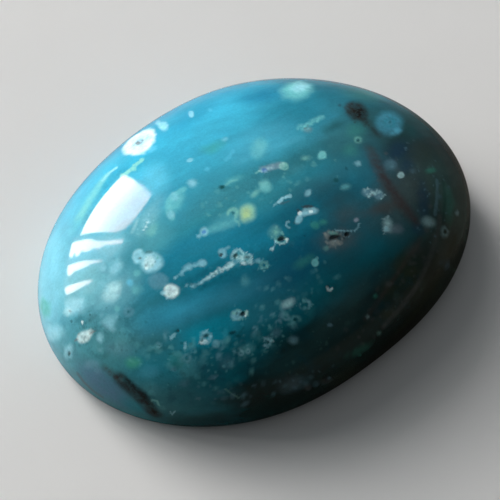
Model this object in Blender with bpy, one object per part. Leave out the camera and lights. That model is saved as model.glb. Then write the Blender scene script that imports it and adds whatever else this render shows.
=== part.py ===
"""An oval gem silica cabochon: one stone with a high polished dome, a narrow rounded edge and a flat back.

The stone lies on its flat back with its long axis along X, its short axis along Y and its dome up. The
origin is the middle of its length and width, on the back.
"""

import math
from collections import namedtuple

import bmesh
import bpy
from mathutils import Matrix, Vector

MM = 0.001

# The stone's size
LENGTH = 25.0 * MM
WIDTH = 18.0 * MM
HEIGHT = 7.1 * MM

# The outline seen from above: nearly an oval, a little fuller at its corners, ground slightly uneven by hand
OUTLINE_FULLNESS = 2.07
THREE_LOBED_SHARE = 0.013
FOUR_LOBED_SHARE = 0.010

# The dome rises steeply from the widest line and rounds over at the top
GIRDLE_HEIGHT = 0.9 * MM
DOME_FULLNESS = 2.3

# The rounded edge under the widest line: share of the outline kept, share of the girdle's height
EDGE_STEPS = ((0.995, 0.62), (0.977, 0.30), (0.940, 0.0))

# Rings of triangles from the top of the dome to the widest line, each with six more points than the last
DOME_RINGS = 32
POINTS_PER_RING = 6
CURVE_SAMPLES = 600

# Open pits where the polish cuts a hollow orb: place along and across, width, length as a share of the width
# and the turn of the longer way
Pit = namedtuple("Pit", "name along across width stretch turn")
PITS = (
    Pit("large ring, outer", -3.5 * MM, 6.7 * MM, 0.34 * MM, 1.3, 20),
    Pit("large ring, inner", -3.1 * MM, 6.2 * MM, 0.26 * MM, 1.2, 80),
    Pit("left lobe", -7.5 * MM, 0.2 * MM, 0.32 * MM, 1.1, 0),
    Pit("right lobe", -7.2 * MM, -0.5 * MM, 0.36 * MM, 1.3, 60),
    Pit("white orb", -7.2 * MM, -2.1 * MM, 0.32 * MM, 1.2, 30),
    Pit("pale orb", -4.3 * MM, -2.1 * MM, 0.24 * MM, 1.0, 0),
    Pit("sponge, left cell", -3.9 * MM, -2.4 * MM, 0.28 * MM, 1.5, 10),
    Pit("sponge, right cell", -3.2 * MM, -2.8 * MM, 0.30 * MM, 1.4, 50),
    Pit("dark hollow", -1.3 * MM, -2.9 * MM, 0.46 * MM, 1.3, 0),
    Pit("white patch, left", 0.2 * MM, -2.1 * MM, 0.30 * MM, 1.1, 0),
    Pit("white patch, right", 0.8 * MM, -2.2 * MM, 0.34 * MM, 1.4, 20),
    Pit("brown hollow", 1.0 * MM, -4.1 * MM, 0.62 * MM, 1.2, 15),
    Pit("brown hollow's neighbour", 1.8 * MM, -4.2 * MM, 0.32 * MM, 1.5, 30),
    Pit("double ring, left", 4.1 * MM, -2.8 * MM, 0.26 * MM, 1.0, 0),
    Pit("double ring, right", 4.5 * MM, -3.3 * MM, 0.26 * MM, 1.2, 0),
    Pit("three-cornered hollow", -4.8 * MM, -4.9 * MM, 0.36 * MM, 1.1, 70),
    Pit("front ring", -6.9 * MM, -4.8 * MM, 0.44 * MM, 1.0, 0),
    Pit("front speck", -7.8 * MM, -3.8 * MM, 0.24 * MM, 1.3, 45),
    Pit("end cleft", -11.3 * MM, -1.1 * MM, 0.30 * MM, 2.4, 125),
    Pit("end ring", -12.1 * MM, -0.8 * MM, 0.30 * MM, 1.2, 90),
)
PIT_DEPTH_SHARE = 0.55
PIT_SIDES_DETAIL = 2

# Greenish blue, seen through a clear polish
STONE_COLOUR = (0.035, 0.17, 0.22, 1.0)
STONE_ROUGHNESS = 0.12


def outline_radius(angle):
    """The distance from the middle to the widest line, seen from above, in the direction of angle."""
    along = abs(math.cos(angle) / (LENGTH / 2)) ** OUTLINE_FULLNESS
    across = abs(math.sin(angle) / (WIDTH / 2)) ** OUTLINE_FULLNESS
    even = (along + across) ** (-1 / OUTLINE_FULLNESS)
    uneven = THREE_LOBED_SHARE * math.sin(3 * angle) + FOUR_LOBED_SHARE * math.sin(4 * angle)
    return even * (1 - uneven)


def dome_height(share):
    """The dome's height above the back where share of the outline's radius is reached."""
    rise = max(0.0, 1 - share ** DOME_FULLNESS) ** (1 / DOME_FULLNESS)
    return GIRDLE_HEIGHT + (HEIGHT - GIRDLE_HEIGHT) * rise


def dome_shares():
    """The rings' shares of the outline's radius, evenly spaced along the dome's curve from the top down."""
    mean_radius = (LENGTH + WIDTH) / 4
    turns = [math.pi / 2 * step / CURVE_SAMPLES for step in range(CURVE_SAMPLES + 1)]
    shares = [math.sin(turn) ** (2 / DOME_FULLNESS) for turn in turns]
    lengths = [0.0]
    for inner, outer in zip(shares, shares[1:]):
        run = (outer - inner) * mean_radius
        drop = dome_height(inner) - dome_height(outer)
        lengths.append(lengths[-1] + math.hypot(run, drop))
    rings = []
    sample = 0
    for ring in range(DOME_RINGS + 1):
        wanted = lengths[-1] * ring / DOME_RINGS
        while sample < CURVE_SAMPLES and lengths[sample] < wanted:
            sample += 1
        rings.append(shares[sample])
    rings[-1] = 1.0
    return rings


def add_ring(mesh, count, share, height):
    """One closed ring of points at a share of the outline's radius."""
    ring = []
    for step in range(count):
        angle = math.tau * step / count
        radius = outline_radius(angle) * share
        ring.append(mesh.verts.new((radius * math.cos(angle), radius * math.sin(angle), height)))
    return ring


def join_growing_rings(mesh, inner, outer):
    """Triangles between two rings of the dome, the outer one with one more point in each sixth of the turn."""
    per_sixth = len(outer) // POINTS_PER_RING
    for sixth in range(POINTS_PER_RING):
        for step in range(per_sixth):
            low = outer[sixth * per_sixth + step]
            high = outer[(sixth * per_sixth + step + 1) % len(outer)]
            middle = inner[(sixth * (per_sixth - 1) + step) % len(inner)]
            mesh.faces.new((low, high, middle))
            if step < per_sixth - 1:
                next_middle = inner[(sixth * (per_sixth - 1) + step + 1) % len(inner)]
                mesh.faces.new((middle, high, next_middle))


def join_equal_rings(mesh, upper, lower):
    """A band of four-sided faces between two rings with the same number of points."""
    count = len(upper)
    for step in range(count):
        after = (step + 1) % count
        mesh.faces.new((upper[step], lower[step], lower[after], upper[after]))


def centre_on_outline(mesh):
    """Moves the stone so that the middle of its length and width is at the origin; returns the move."""
    xs = [vertex.co.x for vertex in mesh.verts]
    ys = [vertex.co.y for vertex in mesh.verts]
    move = Vector((-(min(xs) + max(xs)) / 2, -(min(ys) + max(ys)) / 2, 0.0))
    bmesh.ops.translate(mesh, verts=mesh.verts, vec=move)
    return move


def polished_stone():
    """The stone before its pits are cut, as a closed mesh, and how far it was moved to centre it."""
    mesh = bmesh.new()
    shares = dome_shares()
    inner = [mesh.verts.new((0.0, 0.0, HEIGHT))]
    for ring, share in enumerate(shares[1:], start=1):
        outer = add_ring(mesh, POINTS_PER_RING * ring, share, dome_height(share))
        join_growing_rings(mesh, inner, outer)
        inner = outer
    upper = inner
    for kept, level in EDGE_STEPS:
        lower = add_ring(mesh, len(upper), kept, level * GIRDLE_HEIGHT)
        join_equal_rings(mesh, upper, lower)
        upper = lower
    mesh.faces.new(reversed(upper))
    move = centre_on_outline(mesh)
    return mesh, move


def dome_point(along, across):
    """The point of the dome straight above a place on the back, before centring."""
    share = math.hypot(along, across) / outline_radius(math.atan2(across, along))
    return Vector((along, across, dome_height(min(share, 1.0))))


def dome_normal(along, across):
    """The direction in which the dome faces above a place on the back."""
    step = 0.01 * MM
    slope_along = dome_point(along + step, across) - dome_point(along - step, across)
    slope_across = dome_point(along, across + step) - dome_point(along, across - step)
    return slope_along.cross(slope_across).normalized()


def pit_cutters(move):
    """Small rounded blocks, one standing in the dome's skin at each pit, as one mesh."""
    mesh = bmesh.new()
    for pit in PITS:
        normal = dome_normal(pit.along, pit.across)
        size = Matrix.Diagonal((pit.width * pit.stretch / 2, pit.width / 2, pit.width * PIT_DEPTH_SHARE, 1.0))
        turn = Matrix.Rotation(math.radians(pit.turn), 4, "Z")
        facing = normal.to_track_quat("Z", "Y").to_matrix().to_4x4()
        place = Matrix.Translation(dome_point(pit.along, pit.across) + move)
        bmesh.ops.create_icosphere(
            mesh,
            subdivisions=PIT_SIDES_DETAIL,
            radius=1.0,
            matrix=place @ facing @ turn @ size,
        )
    return mesh


def new_object(name, mesh):
    """Links a mesh to the scene as an object of its own."""
    data = bpy.data.meshes.new(name)
    mesh.to_mesh(data)
    mesh.free()
    thing = bpy.data.objects.new(name, data)
    bpy.context.scene.collection.objects.link(thing)
    return thing


def stone_material():
    """The stone's mean colour under its polish."""
    material = bpy.data.materials.new("gem silica")
    material.use_nodes = True
    shader = material.node_tree.nodes["Principled BSDF"]
    shader.inputs["Base Color"].default_value = STONE_COLOUR
    shader.inputs["Roughness"].default_value = STONE_ROUGHNESS
    shader.inputs["Metallic"].default_value = 0.0
    return material


def cut_pits(stone, cutter):
    """Cuts the pits out of the stone."""
    cutter.hide_render = True
    cutter.display_type = "WIRE"
    cut = stone.modifiers.new("open pits", "BOOLEAN")
    cut.operation = "DIFFERENCE"
    cut.solver = "EXACT"
    cut.object = cutter


def clear_scene():
    """Removes whatever the scene holds."""
    for thing in list(bpy.data.objects):
        bpy.data.objects.remove(thing, do_unlink=True)


def build():
    """Makes the stone."""
    clear_scene()
    mesh, move = polished_stone()
    stone = new_object("gem_silica_cabochon", mesh)
    stone.data.shade_smooth()
    stone.data.set_sharp_from_angle(angle=math.radians(35))
    stone.data.materials.append(stone_material())
    cut_pits(stone, new_object("pit_cutter", pit_cutters(move)))


build()
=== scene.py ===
"""Gem silica cabochon: the looks of one polished oval stone, built over its solid.

The stone is remade as a fine mesh in the solid's own box. Its marks are placed where the photograph shows
them: each is named, read as a pixel of the 500 x 500 frame, and laid on the dome along the line of
sight. The mesh carries the marks' tints; the material lays them over the growth bands and adds the grain.
"""

import math
import random
from collections import namedtuple

import bmesh
import bpy
import numpy as np
from mathutils import Matrix, Vector, noise


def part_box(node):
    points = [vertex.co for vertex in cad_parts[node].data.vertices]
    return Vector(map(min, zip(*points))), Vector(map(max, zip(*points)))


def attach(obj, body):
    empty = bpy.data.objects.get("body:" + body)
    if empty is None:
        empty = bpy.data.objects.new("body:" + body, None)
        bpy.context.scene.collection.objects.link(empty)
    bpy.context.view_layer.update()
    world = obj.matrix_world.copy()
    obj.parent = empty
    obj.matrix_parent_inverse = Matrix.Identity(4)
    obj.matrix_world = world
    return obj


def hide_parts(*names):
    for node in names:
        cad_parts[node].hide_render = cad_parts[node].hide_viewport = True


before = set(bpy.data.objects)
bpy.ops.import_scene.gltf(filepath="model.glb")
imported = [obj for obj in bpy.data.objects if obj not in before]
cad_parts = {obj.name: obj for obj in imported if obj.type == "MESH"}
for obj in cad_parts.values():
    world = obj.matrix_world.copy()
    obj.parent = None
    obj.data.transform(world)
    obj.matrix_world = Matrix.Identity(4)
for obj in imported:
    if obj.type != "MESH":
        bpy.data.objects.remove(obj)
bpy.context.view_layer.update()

MM = 0.001
NODE = "gem_silica_cabochon"
BODY = "root"

# The photograph's width and height in pixels
FRAME = 500
# The camera, as the photograph was taken: a close view from above, turned from the stone's long axis
CAMERA_DISTANCE = 60.0 * MM
CAMERA_ELEVATION = math.radians(60)
CAMERA_AZIMUTH = math.radians(-45)
CAMERA_ROLL = math.radians(12)
# The lens's focal length and the sensor's width, in millimetres
CAMERA_LENS = 78.0
CAMERA_SENSOR = 36.0
# The pixel at which the middle of the stone's back is seen
BASE_SEEN_AT = (256, 252)

# The stone's form, as in the solid
OUTLINE_FULLNESS = 2.07
THREE_LOBED_SHARE = 0.013
FOUR_LOBED_SHARE = 0.010
GIRDLE_HEIGHT = 0.9 * MM
DOME_FULLNESS = 2.3
# The rounded edge under the widest line: share of the outline kept, share of the girdle's height
EDGE_STEPS = ((0.9985, 0.80), (0.995, 0.62), (0.988, 0.45), (0.977, 0.30), (0.960, 0.14), (0.940, 0.0))

# The fine mesh
DOME_RINGS = 112
POINTS_PER_RING = 6
CURVE_SAMPLES = 4000
# Where along a line of sight the stone is looked for, and how often the find is halved
SIGHT_REACH = (CAMERA_DISTANCE - 15 * MM, CAMERA_DISTANCE + 25 * MM)
HALVINGS = 30
# The dome's height outside the stone's outline
FAR_BELOW = -1.0
# Steps over which the dome's slope, and how large a mark is seen, are measured
SLOPE_STEP, SEEN_STEP = 0.002 * MM, 0.01 * MM
# Marks this crisp get a finer mesh, and those crisper or smaller, in pixels, a finer one again
FINE_SOFTNESS = 0.5
FINEST_SOFTNESS = 0.25
SMALL_MARK = 5
THIN_STREAK = 4
BROAD_STREAK = 7
# Under this height the dome is too steep to lay new points on it from above
STEEP_BELOW = GIRDLE_HEIGHT + 1.2 * MM


class Sight:
    """The photograph's line of sight: turns places on the stone into pixels, and pixels into places."""

    def __init__(self):
        turn = CAMERA_AZIMUTH
        level = np.array([math.cos(turn), math.sin(turn), 0.0])
        away = np.array([-math.sin(turn), math.cos(turn), 0.0])
        up = np.array([0.0, 0.0, 1.0])
        sink, reach = math.sin(CAMERA_ELEVATION), math.cos(CAMERA_ELEVATION)
        forward = away * reach - up * sink
        upright = away * sink + up * reach
        right = level * math.cos(CAMERA_ROLL) + upright * math.sin(CAMERA_ROLL)
        top = upright * math.cos(CAMERA_ROLL) - level * math.sin(CAMERA_ROLL)
        self.focal = CAMERA_LENS / CAMERA_SENSOR * FRAME
        self.eye = -forward * CAMERA_DISTANCE
        aside = (BASE_SEEN_AT[0] - FRAME / 2) / self.focal
        below = (BASE_SEEN_AT[1] - FRAME / 2) / self.focal
        self.forward = self.unit(forward - right * aside + top * below)
        self.right = self.unit(np.cross(self.forward, top))
        self.top = np.cross(self.right, self.forward)

    @staticmethod
    def unit(vector):
        return vector / np.linalg.norm(vector)

    def pixels(self, places):
        """Where places, an array of points, are seen in the photograph."""
        away = places - self.eye
        depth = away @ self.forward
        x = FRAME / 2 + self.focal * (away @ self.right) / depth
        y = FRAME / 2 - self.focal * (away @ self.top) / depth
        return np.stack([x, y], axis=-1)

    def ray(self, x, y):
        """The direction in which a pixel looks."""
        aside = (x - FRAME / 2) / self.focal
        above = (FRAME / 2 - y) / self.focal
        return self.unit(self.forward + self.right * aside + self.top * above)


def outline_radius(angle, half_length, half_width):
    """The distance from the middle to the widest line, seen from above."""
    along = np.abs(np.cos(angle) / half_length) ** OUTLINE_FULLNESS
    across = np.abs(np.sin(angle) / half_width) ** OUTLINE_FULLNESS
    even = (along + across) ** (-1 / OUTLINE_FULLNESS)
    uneven = THREE_LOBED_SHARE * np.sin(3 * angle) + FOUR_LOBED_SHARE * np.sin(4 * angle)
    return even * (1 - uneven)


class Dome:
    """The stone's smooth outer form, sized from the solid's box."""

    def __init__(self, low, high):
        self.low, high = np.array(low), np.array(high)
        angles = np.linspace(0, math.tau, CURVE_SAMPLES, endpoint=False)
        self.half = (high[:2] - self.low[:2]) / 2
        middle = (high[:2] + self.low[:2]) / 2
        radii = outline_radius(angles, *self.half)
        xs, ys = radii * np.cos(angles), radii * np.sin(angles)
        self.shift = middle - np.array([(xs.max() + xs.min()) / 2, (ys.max() + ys.min()) / 2])
        self.height = high[2] - self.low[2]

    def rise(self, share):
        """The height above the back where share of the outline's radius is reached."""
        inside = np.clip(1 - np.clip(share, 0, 1) ** DOME_FULLNESS, 0, 1) ** (1 / DOME_FULLNESS)
        return self.low[2] + GIRDLE_HEIGHT + (self.height - GIRDLE_HEIGHT) * inside

    def share(self, x, y):
        """How far out a place is, as a share of the outline's radius."""
        along, across = x - self.shift[0], y - self.shift[1]
        return np.hypot(along, across) / outline_radius(np.arctan2(across, along), *self.half)

    def top(self, x, y):
        """The dome's height above a place, far below it outside the outline."""
        share = self.share(x, y)
        return np.where(share < 1, self.rise(share), FAR_BELOW)

    def facing(self, place):
        """The direction in which the dome faces at a place on it."""
        step = SLOPE_STEP
        x, y = place[0], place[1]
        slope_x = (self.top(x + step, y) - self.top(x - step, y)) / (2 * step)
        slope_y = (self.top(x, y + step) - self.top(x, y - step)) / (2 * step)
        return Sight.unit(np.array([-slope_x, -slope_y, 1.0]))

    def under_pixel(self, sight, x, y):
        """The place on the dome that a pixel of the photograph shows."""
        ray = sight.ray(x, y)
        reach = np.linspace(*SIGHT_REACH, CURVE_SAMPLES)
        points = sight.eye + reach[:, None] * ray
        inside = np.nonzero(points[:, 2] < self.top(points[:, 0], points[:, 1]))[0]
        if len(inside) == 0:
            raise ValueError(f"pixel {x}, {y} misses the stone")
        near, far = reach[inside[0] - 1], reach[inside[0]]
        for _ in range(HALVINGS):
            half = (near + far) / 2
            point = sight.eye + half * ray
            if point[2] < self.top(point[0], point[1]):
                far = half
            else:
                near = half
        return sight.eye + near * ray


# The stone's tints, as screen values
TINTS = {
    "white": (230, 255, 253),
    "milk": (184, 230, 232),
    "ice": (158, 218, 230),
    "sky": (104, 196, 224),
    "orb blue": (70, 152, 176),
    "aqua": (120, 200, 200),
    "mint": (138, 206, 190),
    "lime": (190, 214, 140),
    "sea green": (66, 160, 136),
    "teal": (16, 132, 148),
    "deep teal": (2, 88, 104),
    "blue": (30, 96, 196),
    "steel": (110, 156, 172),
    "slate": (80, 118, 142),
    "navy": (26, 60, 86),
    "lilac": (158, 170, 184),
    "pink grey": (142, 150, 144),
    "umber": (80, 66, 60),
    "smoke": (84, 88, 88),
    "brown": (56, 42, 34),
    "stain": (38, 32, 24),
    "vein brown": (66, 50, 48),
    "vein black": (34, 28, 28),
    "rust": (124, 66, 50),
    "olive": (40, 46, 28),
    "moss": (58, 62, 40),
    "bottle green": (8, 58, 50),
    "black": (6, 12, 12),
}

# A Mark is a patch seen at x, y of the photograph, wide along its turn (degrees anticlockwise) and tall
# across it. Its edge goes from crisp (soft 0) to faded (1). It may be granular, and open in its middle.
Mark = namedtuple("Mark", "name x y wide tall turn tint strength soft grain hollow", defaults=(0.0, 0.0))
# A Streak is a line through pixels of the photograph.
Streak = namedtuple("Streak", "name wide tint strength soft pixels grain", defaults=(0.0,))
# Crumbs are small Marks scattered along a line; their spread goes from the line's first end to its last.
Crumbs = namedtuple("Crumbs", "name count spread size tint strength pixels hollow", defaults=(0.0,))
# A Cloud is a large soft Mark with a tint of its own, as screen values.
Cloud = namedtuple("Cloud", "name x y wide tall turn tint strength")
# A Crowd is where small beads or dark specks crowd.
Crowd = namedtuple("Crowd", "name x y wide tall turn strength")
# A Pit is open, cut by the polish; its depth is in millimetres.
Pit = namedtuple("Pit", "name x y wide tall turn depth")


def table(kind, *rows):
    """A table's rows, each as one of its kind, with its values in the order of the names above."""
    return tuple(kind(*row) for row in rows)


CLOUDS = table(
    Cloud,
    ("sky-blue shoulder", 185, 150, 190, 70, 38, (60, 166, 196), 0.5),
    ("pale left side", 108, 240, 110, 60, 62, (98, 174, 190), 0.55),
    ("pale left edge", 48, 275, 120, 40, 78, (124, 192, 208), 0.6),
    # Painted reflection: a pale tint where the polish mirrors the glow round the window's slats
    ("reflected haze at the slats", 88, 282, 60, 46, 30, (112, 178, 182), 0.5),
    ("grey-teal band", 232, 192, 130, 28, 28, (60, 132, 142), 0.55),
    ("blue tongue", 200, 238, 110, 28, 24, (24, 128, 156), 0.6),
    ("teal far middle", 298, 112, 90, 46, 20, (20, 112, 132), 0.7),
    ("teal streak by the top orb", 262, 95, 60, 16, 10, (10, 106, 140), 0.7),
    ("grey-teal right of the veil", 300, 160, 96, 30, 24, (42, 102, 114), 0.65),
    ("deep blue band", 298, 258, 130, 46, 32, (0, 78, 102), 0.9),
    ("deep blue spur", 232, 280, 100, 18, 27, (12, 98, 120), 0.5),
    ("steel blue under the tail", 185, 310, 120, 30, 22, (52, 158, 186), 0.75),
    ("bright teal front", 212, 332, 96, 38, 20, (0, 156, 180), 0.85),
    ("teal lower left", 158, 364, 90, 44, 8, (30, 144, 162), 0.6),
    ("grey-green end", 100, 345, 90, 46, 10, (78, 136, 140), 0.55),
    ("dark front", 345, 338, 190, 76, 38, (28, 60, 58), 0.72),
    ("black-green edge", 395, 345, 150, 34, 50, (10, 14, 8), 0.8),
    ("dark lower middle", 268, 388, 130, 34, 24, (2, 40, 40), 0.65),
    ("teal right middle", 340, 262, 70, 40, 35, (14, 78, 90), 0.55),
    ("smoky right", 396, 196, 84, 64, 50, (70, 78, 76), 0.75),
    ("grey-green right edge", 446, 195, 110, 34, -62, (70, 100, 94), 0.6),
    ("dark right front", 432, 285, 90, 50, 52, (38, 46, 34), 0.75),
    ("green-brown side", 404, 268, 66, 30, 45, (44, 62, 42), 0.6),
    ("teal above the stain", 345, 140, 60, 50, 40, (48, 100, 106), 0.6),
    ("dark teal above the hollow", 300, 207, 96, 36, 26, (10, 74, 90), 0.65),
    ("murky teal", 344, 194, 60, 50, 30, (24, 64, 74), 0.7),
    ("blue behind the sponge", 254, 244, 70, 24, 28, (14, 126, 152), 0.6),
    ("dark teal under the blue orb", 396, 150, 46, 30, 30, (24, 48, 60), 0.65),
    ("green at the top right", 364, 94, 46, 18, -10, (62, 128, 124), 0.55),
    ("teal right of the triangle", 262, 326, 70, 24, 24, (2, 112, 126), 0.5),
    ("dark bottom rim", 205, 420, 120, 16, 0, (12, 36, 38), 0.6),
    ("grey-teal side", 366, 284, 66, 40, 42, (24, 50, 54), 0.6),
    ("paler left of the slats", 100, 214, 60, 16, 56, (120, 196, 208), 0.35),
    ("grey-brown right middle", 352, 224, 84, 62, 40, (54, 72, 72), 0.5),
    ("teal-blue lower middle", 226, 298, 110, 32, 26, (54, 134, 156), 0.55),
    ("pale teal by the slats", 150, 236, 50, 40, 40, (104, 176, 184), 0.45),
    ("blue right of the window", 156, 178, 40, 34, 40, (110, 202, 226), 0.5),
    ("lower middle's depth", 262, 314, 90, 34, 26, (44, 118, 134), 0.5),
    ("grey-green right rim", 440, 240, 70, 30, 60, (64, 72, 60), 0.5),
    ("deeper blue upper left", 190, 116, 74, 28, 36, (36, 134, 164), 0.55),
    ("grey-teal end", 112, 364, 50, 34, 0, (78, 146, 150), 0.45),
    ("dim band over the upper middle", 296, 164, 80, 22, 24, (42, 108, 118), 0.5),
    ("dim slope to the front", 350, 300, 100, 40, 44, (56, 88, 88), 0.6),
    ("dim slope, lower", 286, 360, 84, 28, 28, (40, 80, 82), 0.5),
    ("murk over the middle", 322, 180, 100, 28, 26, (50, 88, 94), 0.45),
    ("pale lower left", 114, 290, 64, 40, 50, (138, 192, 204), 0.38),
    ("grey-green by the rim", 434, 242, 50, 34, 60, (76, 86, 78), 0.4),
)

HAZES = table(
    Mark,
    ("veil above the straight edge", 262, 140, 80, 34, 24, "sky", 0.24, 0.9),
    ("haze round the lime orb", 228, 219, 48, 18, 28, "aqua", 0.26, 1),
    ("green haze left rim", 86, 208, 62, 9, 60, "aqua", 0.35, 0.8),
    ("pale green cloud", 152, 230, 10, 16, -30, "mint", 0.4, 0.8),
    ("upper cloud", 259, 148, 23, 17, 60, "aqua", 0.62, 0.9),
    ("teal smear", 213, 147, 26, 12, 20, "sea green", 0.5, 0.9),
    ("grey-blue disc", 158, 281, 20, 18, 0, "steel", 0.6, 0.3),
    ("faint disc", 245, 281, 11, 13, 0, "aqua", 0.28, 0.7),
    ("brown haze", 337, 240, 44, 24, 8, "smoke", 0.6, 0.9),
    ("pale green by the dark hollow", 275, 232, 14, 13, 20, "mint", 0.45, 0.7),
    ("green haze below the hollow", 304, 262, 26, 10, 30, "sea green", 0.35, 0.9),
    ("green haze right of the streak", 334, 127, 26, 10, 20, "bottle green", 0.45, 1),
    ("emerald at the left edge", 44, 308, 11, 22, 10, "sea green", 0.75, 0.7),
    ("glow at the left edge", 52, 333, 19, 18, 0, "ice", 0.65, 0.6),
    # Painted reflection: a pale tint over the end of the same mirrored glow round the slats
    ("pale at the slats' end", 76, 306, 26, 20, 10, "ice", 0.45, 0.6),
    ("dark green behind the cleft", 92, 318, 24, 10, 30, "bottle green", 0.35, 1),
    ("emerald patch", 133, 363, 18, 13, 10, "sea green", 0.85, 0.7),
    ("slate corner", 103, 384, 66, 24, -38, "slate", 0.85, 0.6),
    ("lilac over the slate", 92, 364, 20, 8, 15, "steel", 0.55, 0.7),
    ("pale over the slate", 97, 370, 8, 8, 0, "steel", 0.35, 0.7),
    ("teal end of the slate", 134, 406, 34, 11, -25, "teal", 0.45, 0.7),
    ("lilac near the vein", 118, 380, 8, 5, -30, "pink grey", 0.45, 0.8),
    ("front green patch", 190, 366, 26, 30, 20, "aqua", 0.12, 0.9),
    ("front blue patch", 150, 372, 22, 14, 0, "sky", 0.25, 0.9),
    ("lower grey cloud", 295, 385, 34, 16, 20, "steel", 0.22, 0.9),
    ("front teal depth", 205, 352, 60, 12, 18, "deep teal", 0.6, 0.9),
    ("front teal depth right", 245, 336, 40, 14, 20, "deep teal", 0.55, 0.9),
    ("depth under the tail", 208, 270, 60, 9, 28, "deep teal", 0.5, 0.8),
    ("depth under the sponge", 262, 272, 40, 10, 20, "deep teal", 0.4, 0.9),
    ("navy by the blue orb", 398, 150, 22, 18, 60, "navy", 0.65, 0.8),
    ("navy below the bead", 406, 166, 18, 16, 40, "navy", 0.55, 0.8),
    ("navy stripe", 423, 200, 14, 44, 5, "navy", 0.55, 0.8),
    ("navy by the grey disc", 418, 229, 15, 14, 0, "navy", 0.5, 0.7),
    ("brown-pink haze", 384, 208, 44, 14, 15, "umber", 0.5, 0.9),
    ("green patch at the right", 431, 170, 13, 6, 5, "sea green", 0.5, 0.6),
    ("green column", 450, 205, 12, 40, 5, "sea green", 0.25, 0.9),
    ("green patch low right", 410, 272, 16, 10, 30, "moss", 0.45, 0.9),
    ("green arc, far front", 360, 350, 34, 9, 30, "sea green", 0.22, 0.9),
    ("light teal patch, front", 186, 369, 24, 24, 20, "aqua", 0.14, 0.9),
    ("dark blue patch, front", 203, 366, 18, 18, 30, "navy", 0.3, 1),
    ("grey-teal patch, front", 227, 362, 20, 16, 20, "steel", 0.25, 0.9),
    ("teal patch, low front", 240, 378, 18, 9, 10, "teal", 0.4, 0.9),
    ("light teal over the front ring", 246, 349, 18, 12, 20, "aqua", 0.4, 0.9),
    ("grey patch by the small ring", 276, 333, 13, 10, 20, "steel", 0.4, 0.8),
    ("grey-blue cloud, low front", 290, 386, 28, 16, 20, "smoke", 0.25, 0.9),
    ("grey-green patch, low right", 326, 381, 18, 9, 20, "smoke", 0.3, 0.9),
    ("pale patch, low left", 184, 383, 12, 8, 10, "steel", 0.3, 0.8),
    ("elongated patch, low", 245, 404, 11, 5, 30, "steel", 0.3, 0.7),
    ("olive patch, far front", 350, 370, 26, 14, 30, "olive", 0.5, 0.9),
    ("navy patch, lower middle", 292, 327, 14, 9, 10, "navy", 0.5, 0.8),
    ("brown shadow left of the chips", 120, 350, 30, 16, -10, "steel", 0.3, 1),
    ("green shadow by the smear", 158, 350, 24, 6, 15, "bottle green", 0.35, 0.9),
    ("green patch right of the emerald", 176, 360, 16, 20, 20, "sea green", 0.25, 0.9),
    ("greenish haze by the vein", 350, 150, 18, 14, 30, "sea green", 0.25, 0.9),
    ("dark halo of the blue orb", 402, 128, 40, 34, 0, "bottle green", 0.35, 0.9),
    # Painted reflection: a pale band along the mirrored window's right edge, its soft fringe
    ("pale beside the window", 150, 214, 20, 54, -35, "milk", 0.22, 1),
    # Painted reflection: a milky tint laid over the first slat's mirrored light
    ("white reflected haze at the slats", 112, 244, 34, 30, 30, "milk", 0.22, 1),
    ("moss haze, side", 388, 290, 24, 26, 40, "moss", 0.45, 1),
    ("moss haze, low side", 390, 313, 18, 14, 30, "moss", 0.5, 1),
    ("brown-green haze by the dot", 402, 262, 30, 16, 50, "moss", 0.5, 1),
    ("grey haze, right front", 414, 250, 22, 16, 30, "smoke", 0.35, 1),
    ("grey-navy spot at the rim", 446, 265, 10, 12, 0, "slate", 0.3, 0.9),
    ("moss haze, far front", 340, 380, 30, 12, 30, "moss", 0.35, 1),
    ("green at the top of the chain", 356, 130, 22, 20, 20, "sea green", 0.22, 1),
    ("murk right of the vein", 424, 150, 36, 26, -40, "moss", 0.25, 1),
    ("smear by the fleck, soft", 233, 180, 18, 8, 20, "aqua", 0.35, 0.9),
    ("green round the fleck", 226, 189, 14, 8, 15, "bottle green", 0.35, 0.9),
    ("brown haze, left of the pink bead", 348, 214, 34, 22, 20, "smoke", 0.3, 1),
)

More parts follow.
